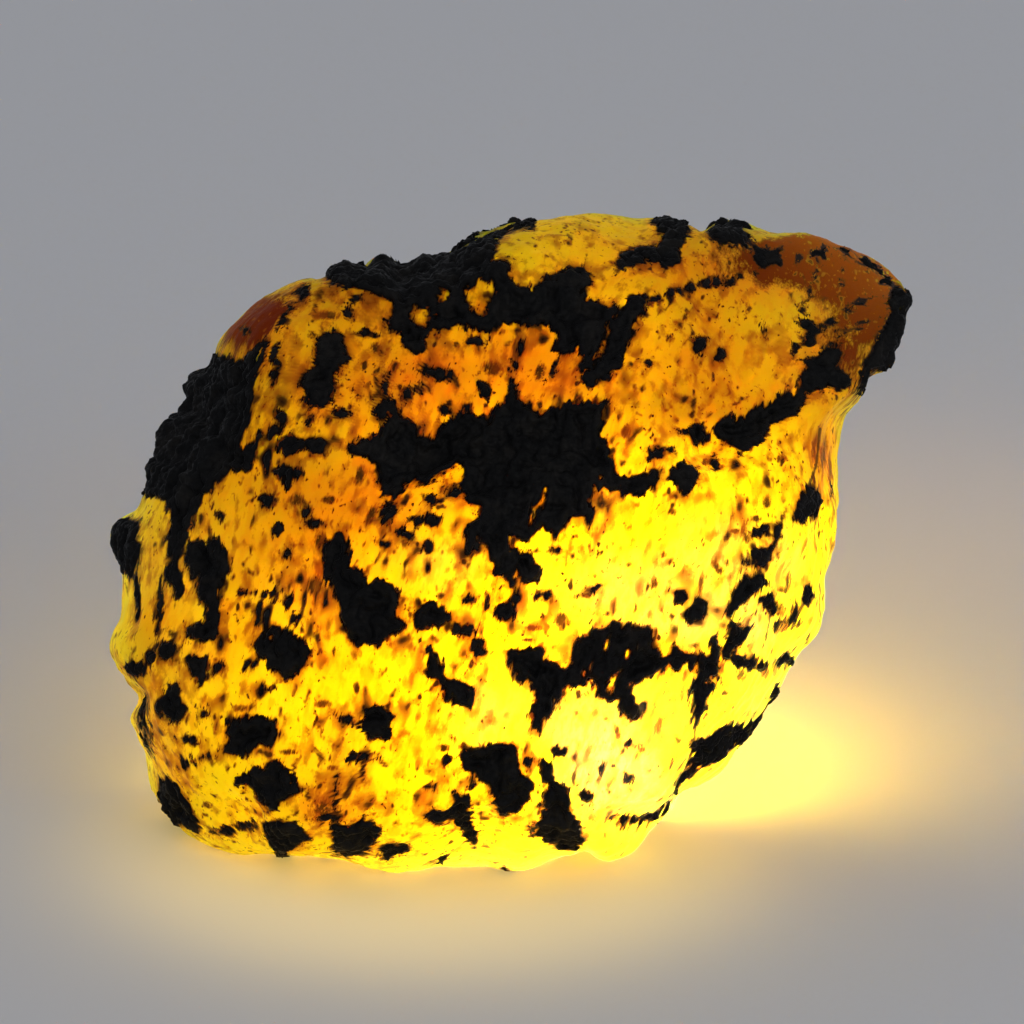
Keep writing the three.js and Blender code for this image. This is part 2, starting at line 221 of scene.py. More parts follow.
    (11.4, -3, 11.3, -2.6, 11.5, -2.2, 11.6, -1.9, 11.9, -1.3, 12, -0.9, 12.2, -0.5, 12.4, -0.1, 12.5, 0.3,
     12.8, 0.5, 13.1, 0.5, 13.1, 0, 13.4, 0.4, 13.6, 0.8, 13.7, 1.2, 13.9, 1.5, 14.1, 1.9, 14.2, 1.6,
     14, 1.1, 13.8, 0.6, 13.7, 0, 13.4, -0.3, 13.1, -0.4, 13, -0.8, 13.3, -1.2, 13.1, -1.3, 12.8, -1.6,
     12.4, -2, 12.1, -2.2, 11.9, -2.3, 11.7, -2.8),
    (12.6, 1.1, 12.7, 1.4, 13.1, 1.6, 13.4, 1.8, 13.3, 1.4, 13, 1.2),
    (15.3, 3.7, 15.6, 3.6, 15.9, 3.3, 16.1, 3, 15.9, 2.5, 15.8, 2.1, 15.3, 1.9, 14.8, 2, 14.7, 2.4,
     15, 2.8, 15.2, 3.2),
    (13, -2, 13.3, -1.9, 13.6, -1.7, 13.7, -2.1, 13.9, -2.4, 13.7, -2.7, 13.4, -2.5, 13.3, -2.2,
     13.1, -2.2),
    (15.3, -1.4, 15.6, -1.3, 15.9, -1.5, 15.9, -1.8, 15.6, -2.1, 15.3, -2.3, 15.1, -2.1, 15.2, -1.7),
    (14.9, -2.3, 14.9, -2.7, 15.1, -3.1, 14.9, -3.3, 14.6, -3.1, 14.3, -3.1, 14.1, -3.4, 13.8, -3.6,
     13.9, -3.2, 14.3, -2.9, 14.6, -2.7),
    (14.3, -4.8, 14.8, -5, 14.8, -5.4, 14.2, -5.4, 14, -5.3, 14.1, -5),
    (13.8, -6.2, 14.1, -6.6, 13.9, -7, 13.5, -7.1, 13.4, -6.8, 13.6, -6.5),
    (8.6, -1.6, 8.8, -1.5, 9.3, -1.6, 9.4, -2, 9, -2.2, 8.7, -2.1),
    (9.3, -2.4, 9.7, -2.1, 10, -1.8, 10.4, -2.1, 10.4, -2.4, 10.1, -2.9, 9.5, -3.1, 9.3, -2.9),
    (8.6, 4.5, 9.2, 4.8, 9.8, 4.6, 10.1, 4.2, 9.8, 3.6, 9.2, 3.5, 8.6, 3.8, 8.5, 4.2),
    # foot, middle
    (-1.9, -9.8, -1.5, -9.4, -0.9, -9.4, 0, -9.1, 0.9, -9.4, 0.9, -9.9, 1.1, -10.6, 1.6, -11.3, 1.4, -11.9,
     0.9, -12.5, 0.2, -12.9, -0.3, -12.1, -0.6, -11.3, -1.1, -10.9, -1.8, -10.5),
    # foot, right
    (2, -10.2, 2.6, -10.2, 2.7, -11.1, 3.3, -11.5, 3.5, -12.6, 4.1, -13.4, 4.1, -14.3, 3.2, -14.4,
     2.4, -14.1, 1.7, -13.6, 2, -13, 2.1, -11.9, 2.4, -11.3, 2, -10.6),
    (5.4, -12.9, 6, -12.7, 7.1, -12.7, 7.9, -12.5, 8.6, -12, 8.5, -12.5, 7.7, -13, 6.9, -13.1, 6, -13.1),
    # below the right ridge
    (9.9, -8.9, 10.3, -9, 10.9, -8.6, 11.4, -8.2, 11.8, -8.3, 12.4, -8.2, 12.9, -7.7, 13.5, -7.2,
     13.6, -7.5, 13, -8.3, 12.5, -8.9, 11.9, -9.2, 11.3, -9.7, 10.9, -10.1, 10.2, -10.2, 9.9, -10.5,
     9.6, -10.9, 9.3, -11.2, 9, -11.4, 8.9, -11.8, 8.6, -12.2, 8.4, -12.6, 8, -12.8, 8.5, -12, 8.8, -11.4,
     9.2, -10.7, 9.5, -10.4, 9.6, -9.8, 9.5, -9.3, 9.7, -9),
]  # fmt: skip

# Smaller patches: u, v, half width, half height and, unless it is 0, turn in degrees.
BLOBS = [
    # left edge
    (-18.6, 0.8, 0.85, 1.6), (-18.2, -1.7, 0.14, 1), (-17, -2.6, 0.14, 0.9), (-16.6, -4.6, 0.55, 0.45),
    (-18.3, -5.5, 0.55, 0.4), (-17.4, -4.9, 0.5, 0.18, 20), (-14, -5.4, 0.22, 0.22),
    (-12.5, -5.2, 0.28, 0.2), (-18.1, -7.8, 0.4, 0.75), (-17.7, -9.3, 0.18, 0.8),
    (-15.9, -10.2, 0.22, 0.22),
    # upper left
    (-12.8, 11.5, 0.25, 0.2), (-10.8, 12.2, 0.12, 0.6, -22), (-9.9, 13.5, 0.38, 0.3),
    (-11.2, 10.3, 0.16, 0.4), (-11.3, 9.2, 0.1, 0.4, -15), (-10.9, 7.2, 0.24, 0.34),
    (-11.4, 6.4, 0.35, 0.22, 30), (-7.6, 12.3, 0.2, 0.25), (-6.8, 11.3, 0.3, 0.12),
    (-3.3, 9.35, 0.6, 0.24, -15), (-0.7, 8.4, 0.22, 0.34, 20), (-2.7, 7.5, 0.24, 0.22),
    (-4.6, 8.4, 0.14, 0.25, -15), (-4.1, 8.6, 0.2, 0.2), (-5.6, 9.3, 0.12, 0.3, -15),
    (-5.7, 8.6, 0.12, 0.3, -15), (-9.5, 7.2, 0.12, 0.35), (-7.3, 12.9, 0.3, 0.12, 20),
    (-8, 7.3, 0.25, 0.1), (2.65, 9.5, 0.12, 0.3, -15), (-1, 10.9, 0.3, 0.12), (0.8, 10, 0.12, 0.4, -15),
    # left of the middle
    (-11.6, 3, 0.42, 0.26), (-11.3, 1.5, 0.34, 0.26), (-13.95, 2.2, 0.15, 0.18), (-9.2, 1.85, 0.25, 0.14),
    (-9.7, 2.6, 0.12, 0.3, -15), (-10.6, 0.35, 0.14, 0.2), (-5.6, 2.4, 0.24, 0.5, -10),
    (-4.8, 1.35, 0.35, 0.16), (-3.4, 2, 0.34, 0.28), (-5.8, 0.8, 0.24, 0.14), (-3.6, 0.7, 0.13, 0.18, -20),
    (-3.4, 3, 0.18, 0.24), (-4.2, 1.9, 0.2, 0.12), (-11.4, -1.65, 0.38, 0.32),
    (-10.6, -2.1, 0.16, 0.25, -15), (-12.6, -1.6, 0.3, 0.12), (-12, -2.8, 0.12, 0.35, -15),
    (-10.3, -3, 0.14, 0.3), (-1.8, -3.5, 0.46, 0.3), (-1.1, -4.4, 0.38, 0.42), (0.3, -2.6, 0.42, 0.4),
    (-0.6, -2.2, 0.12, 0.4, -20), (-1.4, -2, 0.3, 0.14), (0.9, -1.9, 0.12, 0.3), (-11.8, -6.4, 0.2, 0.16),
    (-6.95, -9.9, 0.5, 0.2), (-3.4, -11.3, 0.16, 0.14), (-13.9, -13.6, 0.5, 0.2),
    (-12.7, -13.3, 0.4, 0.17), (-8.7, -12.9, 0.4, 0.16), (-8.2, -12, 0.14, 0.5),
    (-15, -7.8, 0.2, 0.3, -20), (-15.6, -9, 0.3, 0.14), (-14.8, -9.9, 0.3, 0.12), (-7.8, -7.9, 0.2, 0.1),
    # horn
    (9.96, 10.75, 0.28, 0.38), (11.05, 10.3, 0.24, 0.24), (7.3, 9.8, 0.18, 0.14),
    (13.15, 11.5, 0.14, 0.25), (14.8, 10.6, 0.14, 0.22), (17.9, 12.8, 0.5, 0.16, 30),
    (17.1, 13.8, 0.14, 0.34, -15), (16, 15.35, 0.4, 0.2), (18.6, 14.75, 0.75, 0.28, -25),
    (17.4, 15.3, 0.5, 0.16, -15), (19.3, 14.1, 0.3, 0.2), (15.5, 13.4, 0.08, 0.8, -18),
    (16.4, 11.9, 0.3, 0.12, 30), (17.6, 11.5, 0.5, 0.1, 30), (6.8, 13, 0.55, 0.24),
    (8.6, 13.3, 0.9, 0.08, 15), (10.9, 13.9, 0.45, 0.16), (10, 13.7, 0.5, 0.08, 15),
    (12, 14.2, 0.5, 0.07, 20), (14.9, 15, 0.16, 0.2), (8.3, 5.5, 0.35, 0.12), (7.6, 5.3, 0.15, 0.15),
    # right
    (10.7, 4.85, 0.24, 0.26), (16.75, 3.6, 0.14, 0.24), (2.9, 0.5, 0.12, 0.08), (4.8, -1.4, 0.3, 0.08, 25),
    (2.1, -1.75, 0.3, 0.08),
    # foot
    (6.4, -9.2, 0.3, 0.14), (6.3, -11, 0.26, 0.26), (4.3, -11.9, 0.22, 0.22), (3.1, -9.7, 0.28, 0.22),
    (1.4, -10.1, 0.16, 0.2), (5, -10.3, 0.1, 0.2), (0.2, -15.3, 0.4, 0.12), (-3, -14.9, 0.3, 0.12, 30),
    (1.7, -13.4, 0.2, 0.3), (-2.6, -10, 0.24, 0.2), (-1.3, -10.9, 0.14, 0.3),
]  # fmt: skip

# Gaps in the patches, where the stone shows through: the same.
WINDOWS = [
    (-1, 13.2, 0.68, 0.92, -30), (-2.85, 13.3, 0.34, 0.34), (-4, 12.25, 0.52, 0.55),
    (2.1, 3, 0.14, 0.4, -15), (1.55, 2.2, 0.18, 0.34, -15), (5, 4.2, 0.2, 0.18), (-11.4, -3.9, 0.2, 0.16),
    (12.55, -0.42, 0.2, 0.32, -20), (5.5, -6.4, 0.14, 0.34), (11.2, -4.2, 0.07, 0.3, -12),
    (4, -5.7, 0.1, 0.2, -15), (6.1, -5.6, 0.1, 0.24, -15), (-5.3, -14.5, 0.14, 0.1),
    (-5.6, 7.1, 0.08, 0.4, -25), (5, 10.3, 0.1, 0.5, -20), (5.4, 11.6, 0.1, 0.4, -20),
    (5.2, -4.3, 0.08, 0.24, -15), (6.4, -4.6, 0.08, 0.24, -15), (4.7, -4.9, 0.08, 0.2, -15),
    (0.8, -0.7, 0.12, 0.2),
]  # fmt: skip

# Where the crust's pieces lie: u, v, w.
CRUST_PLACES = {
    "top": (-2, 14, 6),
    "saddle": (0, 4, 11),
    "left_wall": (-15, 6, 4),
    "foot_left": (-12, -7, 8),
    "foot_right": (3, -10, 10),
    "horn": (14, 9, 4),
    "right": (12, -3, 8),
    "back_left": (-10, 0, -9),
    "back_right": (9, 0, -9),
    "underside": (-4, -13, -3),
}

CRUST_EDGE = -0.12  # how far inside a patch its shell begins, mm
CRUST_RISE = 0.42  # how far the crust's top rises from its edge to its plateau, mm
CRUST_ROOT = 0.4  # how far the shell's underside lies below the stone's surface, mm
STONE_SINK = 0.35  # how far the stone's own surface is lowered under the crust, mm
SMALLEST_GROUP = 5  # faces; smaller scraps of crust are left out

# Cells along one side of the six faces of a grid, and how far each grid's cells crowd to the front.
STONE_CELLS = 126
CRUST_CELLS = 230
CROWDING = 0.3

# ---- the stone's colouring ----
# Iron stain that browns the stone: u, v, half width, half height, strength.
STAINS = [
    (-12.9, 11.4, 2, 2, 1), (-12.4, 12.6, 1.8, 1, 0.7), (18.4, 13.2, 2.4, 4, 1.3),
    (15.4, 15.2, 3, 1.6, 0.9), (13, 14.8, 6, 1.6, 0.7), (16, 9.4, 1.8, 1.6, 0.6),
    (10.8, 10.4, 4.4, 3, 0.12), (4, 16.5, 4, 1.4, 0.15), (-8.5, 13, 3.4, 1.8, 0.55), (-5, 9, 3, 1.4, 0.35),
    (1.6, 10, 2.6, 1.8, 0.25), (3.4, 8.6, 1.4, 1, 0.2), (-3.2, 9.4, 2.6, 1.6, 0.2),
    (-9.3, 8.9, 1.2, 1.6, 0.6), (-8.5, 3, 3.2, 2, 0.2), (-9.2, -1.3, 1, 1, 0.6), (-17.6, -6, 1.3, 7, 0.3),
    (-16.8, -2, 1.6, 3, 0.25), (-14.5, -5, 2, 1, 0.2), (-8.7, -12.3, 1.2, 1, 0.6),
    (-17, -9.5, 1.2, 2.5, 0.25), (16.5, 5.2, 0.9, 1.6, 0.6),
]  # fmt: skip

# Painted shade, a deeper golden where the glow through the stone is dim: the same.
PAINTED_SHADE_SPOTS = [
    (10.6, 9.6, 4.6, 3.4, 0.85), (2, 9.4, 4, 2.4, 0.6), (-4.5, 8.6, 4.5, 3, 0.55), (-9, 3, 4.5, 3, 0.8),
    (-12.5, -1, 3.5, 2.6, 0.5), (-2, 3.6, 2.4, 1.6, 0.35), (16, 5.4, 1.4, 2.2, 0.5),
    (-15.5, 3, 3, 3, 0.35), (12, 14, 6, 2.4, 0.5), (4, 16.4, 4, 1.8, 0.3), (-18.3, -2, 1.4, 6, 0.4),
    (-7.4, -12, 3, 2, 0.2), (8.6, 7.4, 2.6, 1.1, 0.5), (12.4, 7.6, 2.4, 1, 0.4),
]  # fmt: skip

# Painted light, a paler stone where the glow through it is brightest: the same.
PAINTED_GLOW_SPOTS = [
    (4.3, -8.6, 2.4, 1.8, 0.9), (5, -10.8, 2.4, 1.8, 0.8), (-0.5, -7.6, 1.6, 1.2, 0.5),
    (8.6, -3.2, 2, 1, 0.9), (11.6, -1.6, 1.4, 0.8, 0.8), (12.6, -3, 0.9, 1.2, 0.8),
    (6.5, -1.2, 3, 1.6, 0.5), (10.8, 0.6, 2, 1.4, 0.6), (-3, -0.2, 2, 1.2, 0.35), (3.6, -12, 1, 1, 0.4),
    (14.3, 0.4, 0.8, 1.4, 0.5), (-1.5, -9, 1.4, 1, 0.3),
]  # fmt: skip

# Thin brown spots with soft edges: as the smaller patches.
THIN_SPOTS = [
    (14.45, -1.1, 0.12, 0.5, -12), (14.2, -1.5, 0.35, 0.14), (12.2, 1.6, 0.15, 0.5, -15),
    (11.8, 1.45, 0.3, 0.12), (12.35, 1.1, 0.2, 0.3), (13.35, 2.9, 0.2, 0.38, -10),
    (12.8, 2.05, 0.25, 0.15), (14.1, 5.1, 0.26, 0.22), (10.3, 4.9, 0.22, 0.16), (11, 4.6, 0.22, 0.14),
    (10.7, -0.2, 0.15, 0.25), (11.3, -0.15, 0.15, 0.22), (11, -0.5, 0.2, 0.25), (7.7, -1.15, 0.18, 0.4),
    (8.7, 2.4, 0.14, 0.2), (8.2, 0.25, 0.12, 0.16), (15.8, 5.6, 0.12, 0.7, -6),
    (16.3, 5.3, 0.25, 0.9, -12), (16.7, 4.6, 0.14, 0.8, -6), (10.05, -1.2, 0.1, 0.6, -10),
    (7.9, -8.3, 0.18, 0.5, -25), (5.85, -8.6, 0.14, 0.42, 10), (7.1, -9.5, 0.16, 0.12),
    (8.2, -5.4, 0.2, 0.45, -25), (11.1, -5.4, 0.16, 0.3, -10), (12, -5.7, 0.3, 0.36),
    (13.3, -5.6, 0.25, 0.42), (13.8, -5.4, 0.16, 0.6, -10), (12.7, -7.8, 0.4, 0.2, 30),
    (8.55, -10.3, 0.1, 0.5, -5), (14.2, -3.4, 0.3, 0.2, 40), (3.1, -3, 0.4, 0.34), (1.7, -3.4, 0.42, 0.16),
    (-8.8, -7.2, 0.45, 0.18), (8.5, 11.1, 0.22, 0.22), (6.3, 6.4, 0.2, 0.34),
    (-11.2, 12.4, 0.16, 0.7, -24), (-11.3, 9, 0.14, 0.5, -15), (-10.2, 3, 0.4, 0.36), (-8.5, 3, 0.42, 0.2),
    (-4.7, 8.5, 0.36, 0.24), (-9.4, 11.2, 0.2, 0.26), (-9.3, -1.3, 0.5, 0.5), (-9, 1, 0.3, 0.5, -15),
    (-8.7, -12.4, 0.7, 0.5), (-6.2, 10.6, 0.3, 0.3), (-5.3, 9.6, 0.2, 0.35, -15), (-8.6, 12.2, 0.7, 0.2),
    (-7, 4.2, 0.3, 0.5, -20), (-6.4, 2.2, 0.2, 0.6, -25), (-0.4, 9.6, 0.5, 0.4),
    (0.9, 10.6, 0.3, 0.6, -15), (2, 9.4, 0.25, 0.5, -15), (-13, -7.4, 0.5, 0.14), (-10.6, -9.6, 0.5, 0.14),
    (-8.4, -10.4, 0.3, 0.14), (-7.2, -6.4, 0.14, 0.3), (-14.6, -12.2, 0.3, 0.16), (-2.8, -9.4, 0.3, 0.16),
    (1.4, -4, 0.3, 0.1), (9.3, 12.2, 0.14, 0.3, -15), (12.4, 12.6, 0.14, 0.3, -15),
    (16.2, 13.2, 0.3, 0.14, 20), (17.8, 10.9, 0.14, 0.4, -20),
]  # fmt: skip

# Fine cracks: from u, v to u, v, and half width.
CRACKS = [
    (15.85, 6.5, 15.65, 4.7, 0.07), (15.65, 4.7, 15.15, 3.4, 0.07), (15.1, -1.9, 14.4, -3.4, 0.06),
    (9.75, -7, 9.55, -9.2, 0.06), (9.6, -9.1, 8.55, -12, 0.07), (12.15, -0.7, 11.2, -3.6, 0.05),
    (13.4, -2.4, 13.1, -3.9, 0.04),
]  # fmt: skip

# Colours of the stone, from clear to stained, with a pale for painted light and an ochre for painted shade.
# painted light: the pale the stone turns where its glow is brightest
GLOW_PALE = (0.97, 0.80, 0.09, 1)
GOLD = (0.95, 0.67, 0.005, 1)
DEEP_GOLD = (0.94, 0.63, 0.004, 1)
AMBER = (0.90, 0.50, 0.004, 1)
# painted shade: the ochre the stone is darkened to where its glow is dim
SHADE_OCHRE = (0.55, 0.35, 0.003, 1)
RUST = (0.66, 0.22, 0.004, 1)
BROWN = (0.30, 0.060, 0.003, 1)
THIN_BROWN = (0.14, 0.0135, 0.001, 1)  # stain where the stone is thin, as at the end of the horn
DARK_BROWN = (0.05, 0.014, 0.002, 1)
BLACK = (0.006, 0.004, 0.003, 1)
CRUST_BLACK = (0.004, 0.004, 0.0042, 1)
CRUST_GREY = (0.010, 0.009, 0.008, 1)

# How far light runs in the stone: the same for red, green and blue, and the distance in metres.
SCATTER_RADIUS = (1.0, 1.0, 1.0)
SCATTER_DEPTH = 0.040

# ---- the stage, in metres, watts and degrees ----
FLOOR_REACH = 3.0
FLOOR_LEVEL = -0.0001
FLOOR_COLOUR = (0.70, 0.70, 0.715, 1)
SKY_COLOUR = (0.9, 0.93, 1.0, 1)
SKY_STRENGTH = 0.42
KEY_COLOUR = (1, 0.97, 0.92)
LAMP_COLOUR = (1.0, 0.96, 0.70)

# Lamps: name, place, what it points at, size, power, colour, spread. The soft key lights everything.
KEY_LAMP = ("soft key", (0.3, -0.45, 0.15), (0, 0, 0.012), 0.4, 0.7, KEY_COLOUR, 180)
# These light the stone and not the floor, so that it glows from within.
STONE_LAMPS = [
    ("lamp below", (0.004, 0.008, -0.003), (0.005, -0.004, 0.012), 0.011, 0.0065, LAMP_COLOUR, 110),
    ("lamp behind", (0.009, 0.028, 0.002), (0.004, 0, 0.005), 0.014, 0.057, LAMP_COLOUR, 44),
    ("lamp behind, left", (-0.012, 0.024, 0.002), (-0.010, 0, 0.005), 0.012, 0.0052, LAMP_COLOUR, 60),
]
# These light only the floor, for the glow that the stone throws on it.
FLOOR_LAMPS = [
    ("glow in front", (-0.004, -0.0055, 0.006), (-0.004, -0.0056, 0), 0.033, 0.0021, (1.0, 0.7, 0.14), 180),
    ("glow at the side", (0.022, 0.040, 0.014), (0.022, 0.0401, 0), 0.030, 0.0005, (1, 0.5, 0.02), 180),
]


# ---- sums on arrays of points ----


def ramp(value, low, high):
    """0 below low, 1 above high, and t*t*(3 - 2t) between them."""
    t = np.clip((value - low) / (high - low), 0, 1)
    return t * t * (3 - 2 * t)


def gradient_noise(points, size, seed):
    """Smooth random field, about -1 to 1.

    A cubic lattice has a random slope at each corner, and a point takes the mean of the eight slopes around
    it, each times the offset from its corner, weighted by t^3 (6t^2 - 15t + 10) along each axis.
    """
    slopes = np.random.default_rng(seed).normal(size=(32, 32, 32, 3))
    slopes /= np.linalg.norm(slopes, axis=3, keepdims=True)
    cell = points / size
    low = np.floor(cell).astype(int)
    offset = cell - low
    fade = offset**3 * (offset * (offset * 6 - 15) + 10)
    total = np.zeros(len(points))
    for corner in itertools.product((0, 1), repeat=3):
        index = (low + corner) % 32
        slope = slopes[index[:, 0], index[:, 1], index[:, 2]]
        weight = np.prod(np.where(corner, fade, 1 - fade), axis=1)
        total += weight * np.sum(slope * (offset - corner), axis=1)
    return total * 1.6


def layered_noise(points, size, seed, layers=3, falloff=0.5):
    """Sum of gradient noises, each half the size of the last and falloff times its height."""
    return sum(falloff**i * gradient_noise(points, size / 2**i, seed + i) for i in range(layers))


def stretched(points, along, share):
    """Points with their distance along a direction cut to a share, so that noise on them runs along it."""
    return points - np.outer(points @ along, along) * (1 - share)


def lump_field(points, size, seed):
    """Rounded lumps packed together: 1 - (distance to the nearest centre / size)^2, with one centre placed
    at random in each cube of a lattice size wide."""
    centres = np.random.default_rng(seed).uniform(0.15, 0.85, (32, 32, 32, 3))
    cell = points / size
    low = np.floor(cell).astype(int)
    nearest = np.full(len(points), 9.0)
    for step in itertools.product((-1, 0, 1), repeat=3):
        index = (low + step) % 32
        away = low + step + centres[index[:, 0], index[:, 1], index[:, 2]] - cell
        nearest = np.minimum(nearest, np.sum(away * away, axis=1))
    return 1 - nearest


# ---- the stone's surface ----


def outline_radius(angle):
    """Radius of the outline: a cubic between points, whose slope at each is that of the line between the
    two points beside it."""
    knots = np.array(sorted((math.atan2(v, u), math.hypot(u, v)) for u, v in OUTLINE))
    turn = np.array([2 * math.pi, 0])
    a, r = np.vstack([knots[-2:] - turn, knots, knots[:2] + turn]).T
    slope = np.gradient(r)
    slope[1:-1] = (r[2:] - r[:-2]) / (a[2:] - a[:-2])
    i = np.searchsorted(a, angle, side="right") - 1
    span = a[i + 1] - a[i]
    t = (angle - a[i]) / span
    rise = r[i + 1] - r[i]
    start, end = slope[i] * span, slope[i + 1] * span
    return r[i] + t * (start + t * (3 * rise - 2 * start - end + t * (start + end - 2 * rise)))


def beside_line(u, v, u0, v0, u1, v1):
    """Share of the way along the line, mm along it, and mm to its left."""
    length = math.hypot(u1 - u0, v1 - v0)
    du, dv = (u1 - u0) / length, (v1 - v0) / length
    along = (u - u0) * du + (v - v0) * dv
    return along / length, along, (v - v0) * du - (u - u0) * dv


def hollow_depth(u, v):
    """Sum of soft troughs with round ends, depth * exp(-(distance off the line / half width)^2)."""
    depth = 0
    for u0, v0, u1, v1, deep, half_width in HOLLOWS:
        share = np.clip(beside_line(u, v, u0, v0, u1, v1)[0], 0, 1)
        off = np.hypot(u - u0 - share * (u1 - u0), v - v0 - share * (v1 - v0)) / half_width
        depth = depth + deep * np.exp(-off * off)
    return depth


def ledge_depth(u, v):
    """A step down below the ledge's line, which fades away below it."""
    u0, v0, u1, v1, deep, step, reach = LEDGE
    _, along, left = beside_line(u, v, u0, v0, u1, v1)
    below = np.maximum(-left, 0) / reach
    return deep * ramp(-left, -step, step) * np.exp(-below * below) * ramp(along, 0, reach)


def surface_distance(directions):
    """Distance from the centre to the stone's surface along each unit direction.

    The uncut body is the superellipse (in-plane share)^p + (|w| / depth)^p = 1 on the outline. Body and
    facets join in a soft minimum, 1 / r = (sum of (1 / r_i)^k)^(1 / k). Swells are added, hollows and ledge
    taken away, and the flat that the stone rests on is cut straight.
    """
    u, v, w = directions.T
    depth = np.where(w >= 0, FRONT_DEPTH, BACK_DEPTH)
    across = np.hypot(u, v) / outline_radius(np.arctan2(v, u))
    total = (across**BODY_POWER + (np.abs(w) / depth) ** BODY_POWER) ** (EDGE_SHARPNESS / BODY_POWER)
    for nu, nv, nw, distance in FACETS:
        length = math.hypot(nu, nv, nw)
        total = total + np.maximum((nu * u + nv * v + nw * w) / (length * distance), 0) ** EDGE_SHARPNESS
    faceted = total ** (-1 / EDGE_SHARPNESS)
    swell = 0
    for ku, kv, kw, phase, height in SWELLS:
        swell = swell + height * np.sin((ku * u + kv * v + kw * w) * faceted + phase)
    front = ramp(w, 0, 0.35)
    lowered = hollow_depth(u * faceted, v * faceted) + ledge_depth(u * faceted, v * faceted)
    return faceted + swell - front * lowered


def cut_flat(points):
    """Points of the surface, pulled straight towards the centre where they pass the flat at the foot."""
    down = -(points[:, 1] * math.cos(LEAN) + points[:, 2] * math.sin(LEAN))
    return points * np.minimum(1, REST_DEPTH / np.maximum(down, 1e-3))[:, None]


# ---- closed grids of directions ----


def ball_grid(count, shift):
    """A cube's six faces, each cut into count * count cells and blown up to a ball.

    Cells are spaced by the tangent of even angles. The directions are then stretched and shifted (0 to 1)
    towards the front, so that cells are finer there. Gives unit directions and faces of four corners.
    """
    even = np.tan(np.linspace(-1, 1, count + 1) * math.pi / 4)
    a, b = (g.ravel() for g in np.meshgrid(even, even, indexing="ij"))
    one = np.ones_like(a)
    sides = [(one, a, b), (-one, b, a), (b, one, a), (a, -one, b), (a, b, one), (b, a, -one)]
    points = np.concatenate([np.stack(side, axis=1) for side in sides])
    corner = np.arange((count + 1) ** 2).reshape(count + 1, count + 1)
    cell = np.stack([corner[:-1, :-1], corner[1:, :-1], corner[1:, 1:], corner[:-1, 1:]], axis=-1)
    cell = cell.reshape(-1, 4)
    faces = np.concatenate([cell + side * (count + 1) ** 2 for side in range(6)])
    _, first, place = np.unique(np.round(points, 9), axis=0, return_index=True, return_inverse=True)
    directions = points[first] / np.linalg.norm(points[first], axis=1, keepdims=True)
    directions = directions * (1.18, 1.0, 0.86) + (0, 0, shift)
    directions /= np.linalg.norm(directions, axis=1, keepdims=True)
    return directions, place.ravel()[faces]


def summed(index, rows, count):
    """Rows of three numbers, added up by index."""
    return np.stack([np.bincount(index, rows[:, k], count) for k in range(3)], axis=1)


def evened(directions, faces, rounds):
    """Directions slid so that the faces on the stone even out: each round, a vertex moves to the mean of
    its neighbours' places on the surface."""
    ends = np.concatenate([faces, np.roll(faces, 1, axis=1)]).reshape(-1)
    others = np.concatenate([np.roll(faces, 1, axis=1), faces]).reshape(-1)
    count = np.bincount(ends, minlength=len(directions))[:, None]
    for _ in range(rounds):
        points = directions * surface_distance(directions)[:, None]
        mean = summed(ends, points[others], len(directions)) / count
        directions = mean / np.linalg.norm(mean, axis=1, keepdims=True)
    return directions


def outward_normals(points, faces):
    """Unit normals at the vertices: the sum of the cross products of the diagonals of the faces there."""
    across = np.cross(points[faces[:, 2]] - points[faces[:, 0]], points[faces[:, 3]] - points[faces[:, 1]])
    normal = summed(faces.ravel(), np.repeat(across, 4, axis=0), len(points))
    return normal / np.linalg.norm(normal, axis=1, keepdims=True)


# ---- where the crust lies ----


def turned(u, v, blob):
    """Offset from a blob's centre along its width and along its height, each over the half size."""
    u0, v0, half_width, half_height, turn = (*blob, 0)[:5]
    cos, sin = math.cos(math.radians(turn)), math.sin(math.radians(turn))
    du, dv = u - u0, v - v0
    return (du * cos + dv * sin) / half_width, (dv * cos - du * sin) / half_height


def inside_outline(u, v, outline):
    """Distance inside a closed outline, mm, negative outside it: the distance to its nearest edge, with the
    sign from how often a line to the right crosses the outline."""
    nearest = np.full(len(u), 1e9)
    crossings = np.zeros(len(u), int)
    for (u0, v0), (u1, v1) in zip(outline, outline[1:] + outline[:1]):
        share = np.clip(beside_line(u, v, u0, v0, u1, v1)[0], 0, 1)
        nearest = np.minimum(nearest, np.hypot(u - u0 - share * (u1 - u0), v - v0 - share * (v1 - v0)))
        if v0 != v1:
            level = (v >= min(v0, v1)) & (v < max(v0, v1))
            crossings += level & (u < u0 + (v - v0) * (u1 - u0) / (v1 - v0))
    return np.where(crossings % 2, nearest, -nearest)


def as_seen(points):
    """Points with u and v moved out to where they look to be from in front: the offset from the line of
    view, times the distance of the view, over the point's own distance."""
    u, v, w = points.T
    grown = VIEW_DISTANCE / (VIEW_DISTANCE - w)
    return np.stack([VIEW_U + (u - VIEW_U) * grown, VIEW_V + (v - VIEW_V) * grown, w], axis=1)


def inside_blob(points, blob, depth_at):
    """Distance inside a rounded patch, mm: (1 - |offset / half size|) * the smaller half size."""
    u, v, w = points.T
    along, up = turned(u, v, blob)
    half_width, half_height = blob[2:4]
    thick = 1.3 * max(half_width, half_height) + 1.0
    away = np.sqrt(along**2 + up**2 + ((w - depth_at(*blob[:2])) / thick) ** 2)
    return (1 - away) * min(half_width, half_height)


def depth_finder(points):
    """Gives a function of u and v for how far out along w the front of the stone is there."""
    front = points[points[:, 2] > -1.0][::3]

    def depth_at(u0, v0):
        away = np.hypot(front[:, 0] - u0, front[:, 1] - v0)
        near = away < max(0.4, away.min() + 0.1)
        return front[near, 2].max()

    return depth_at


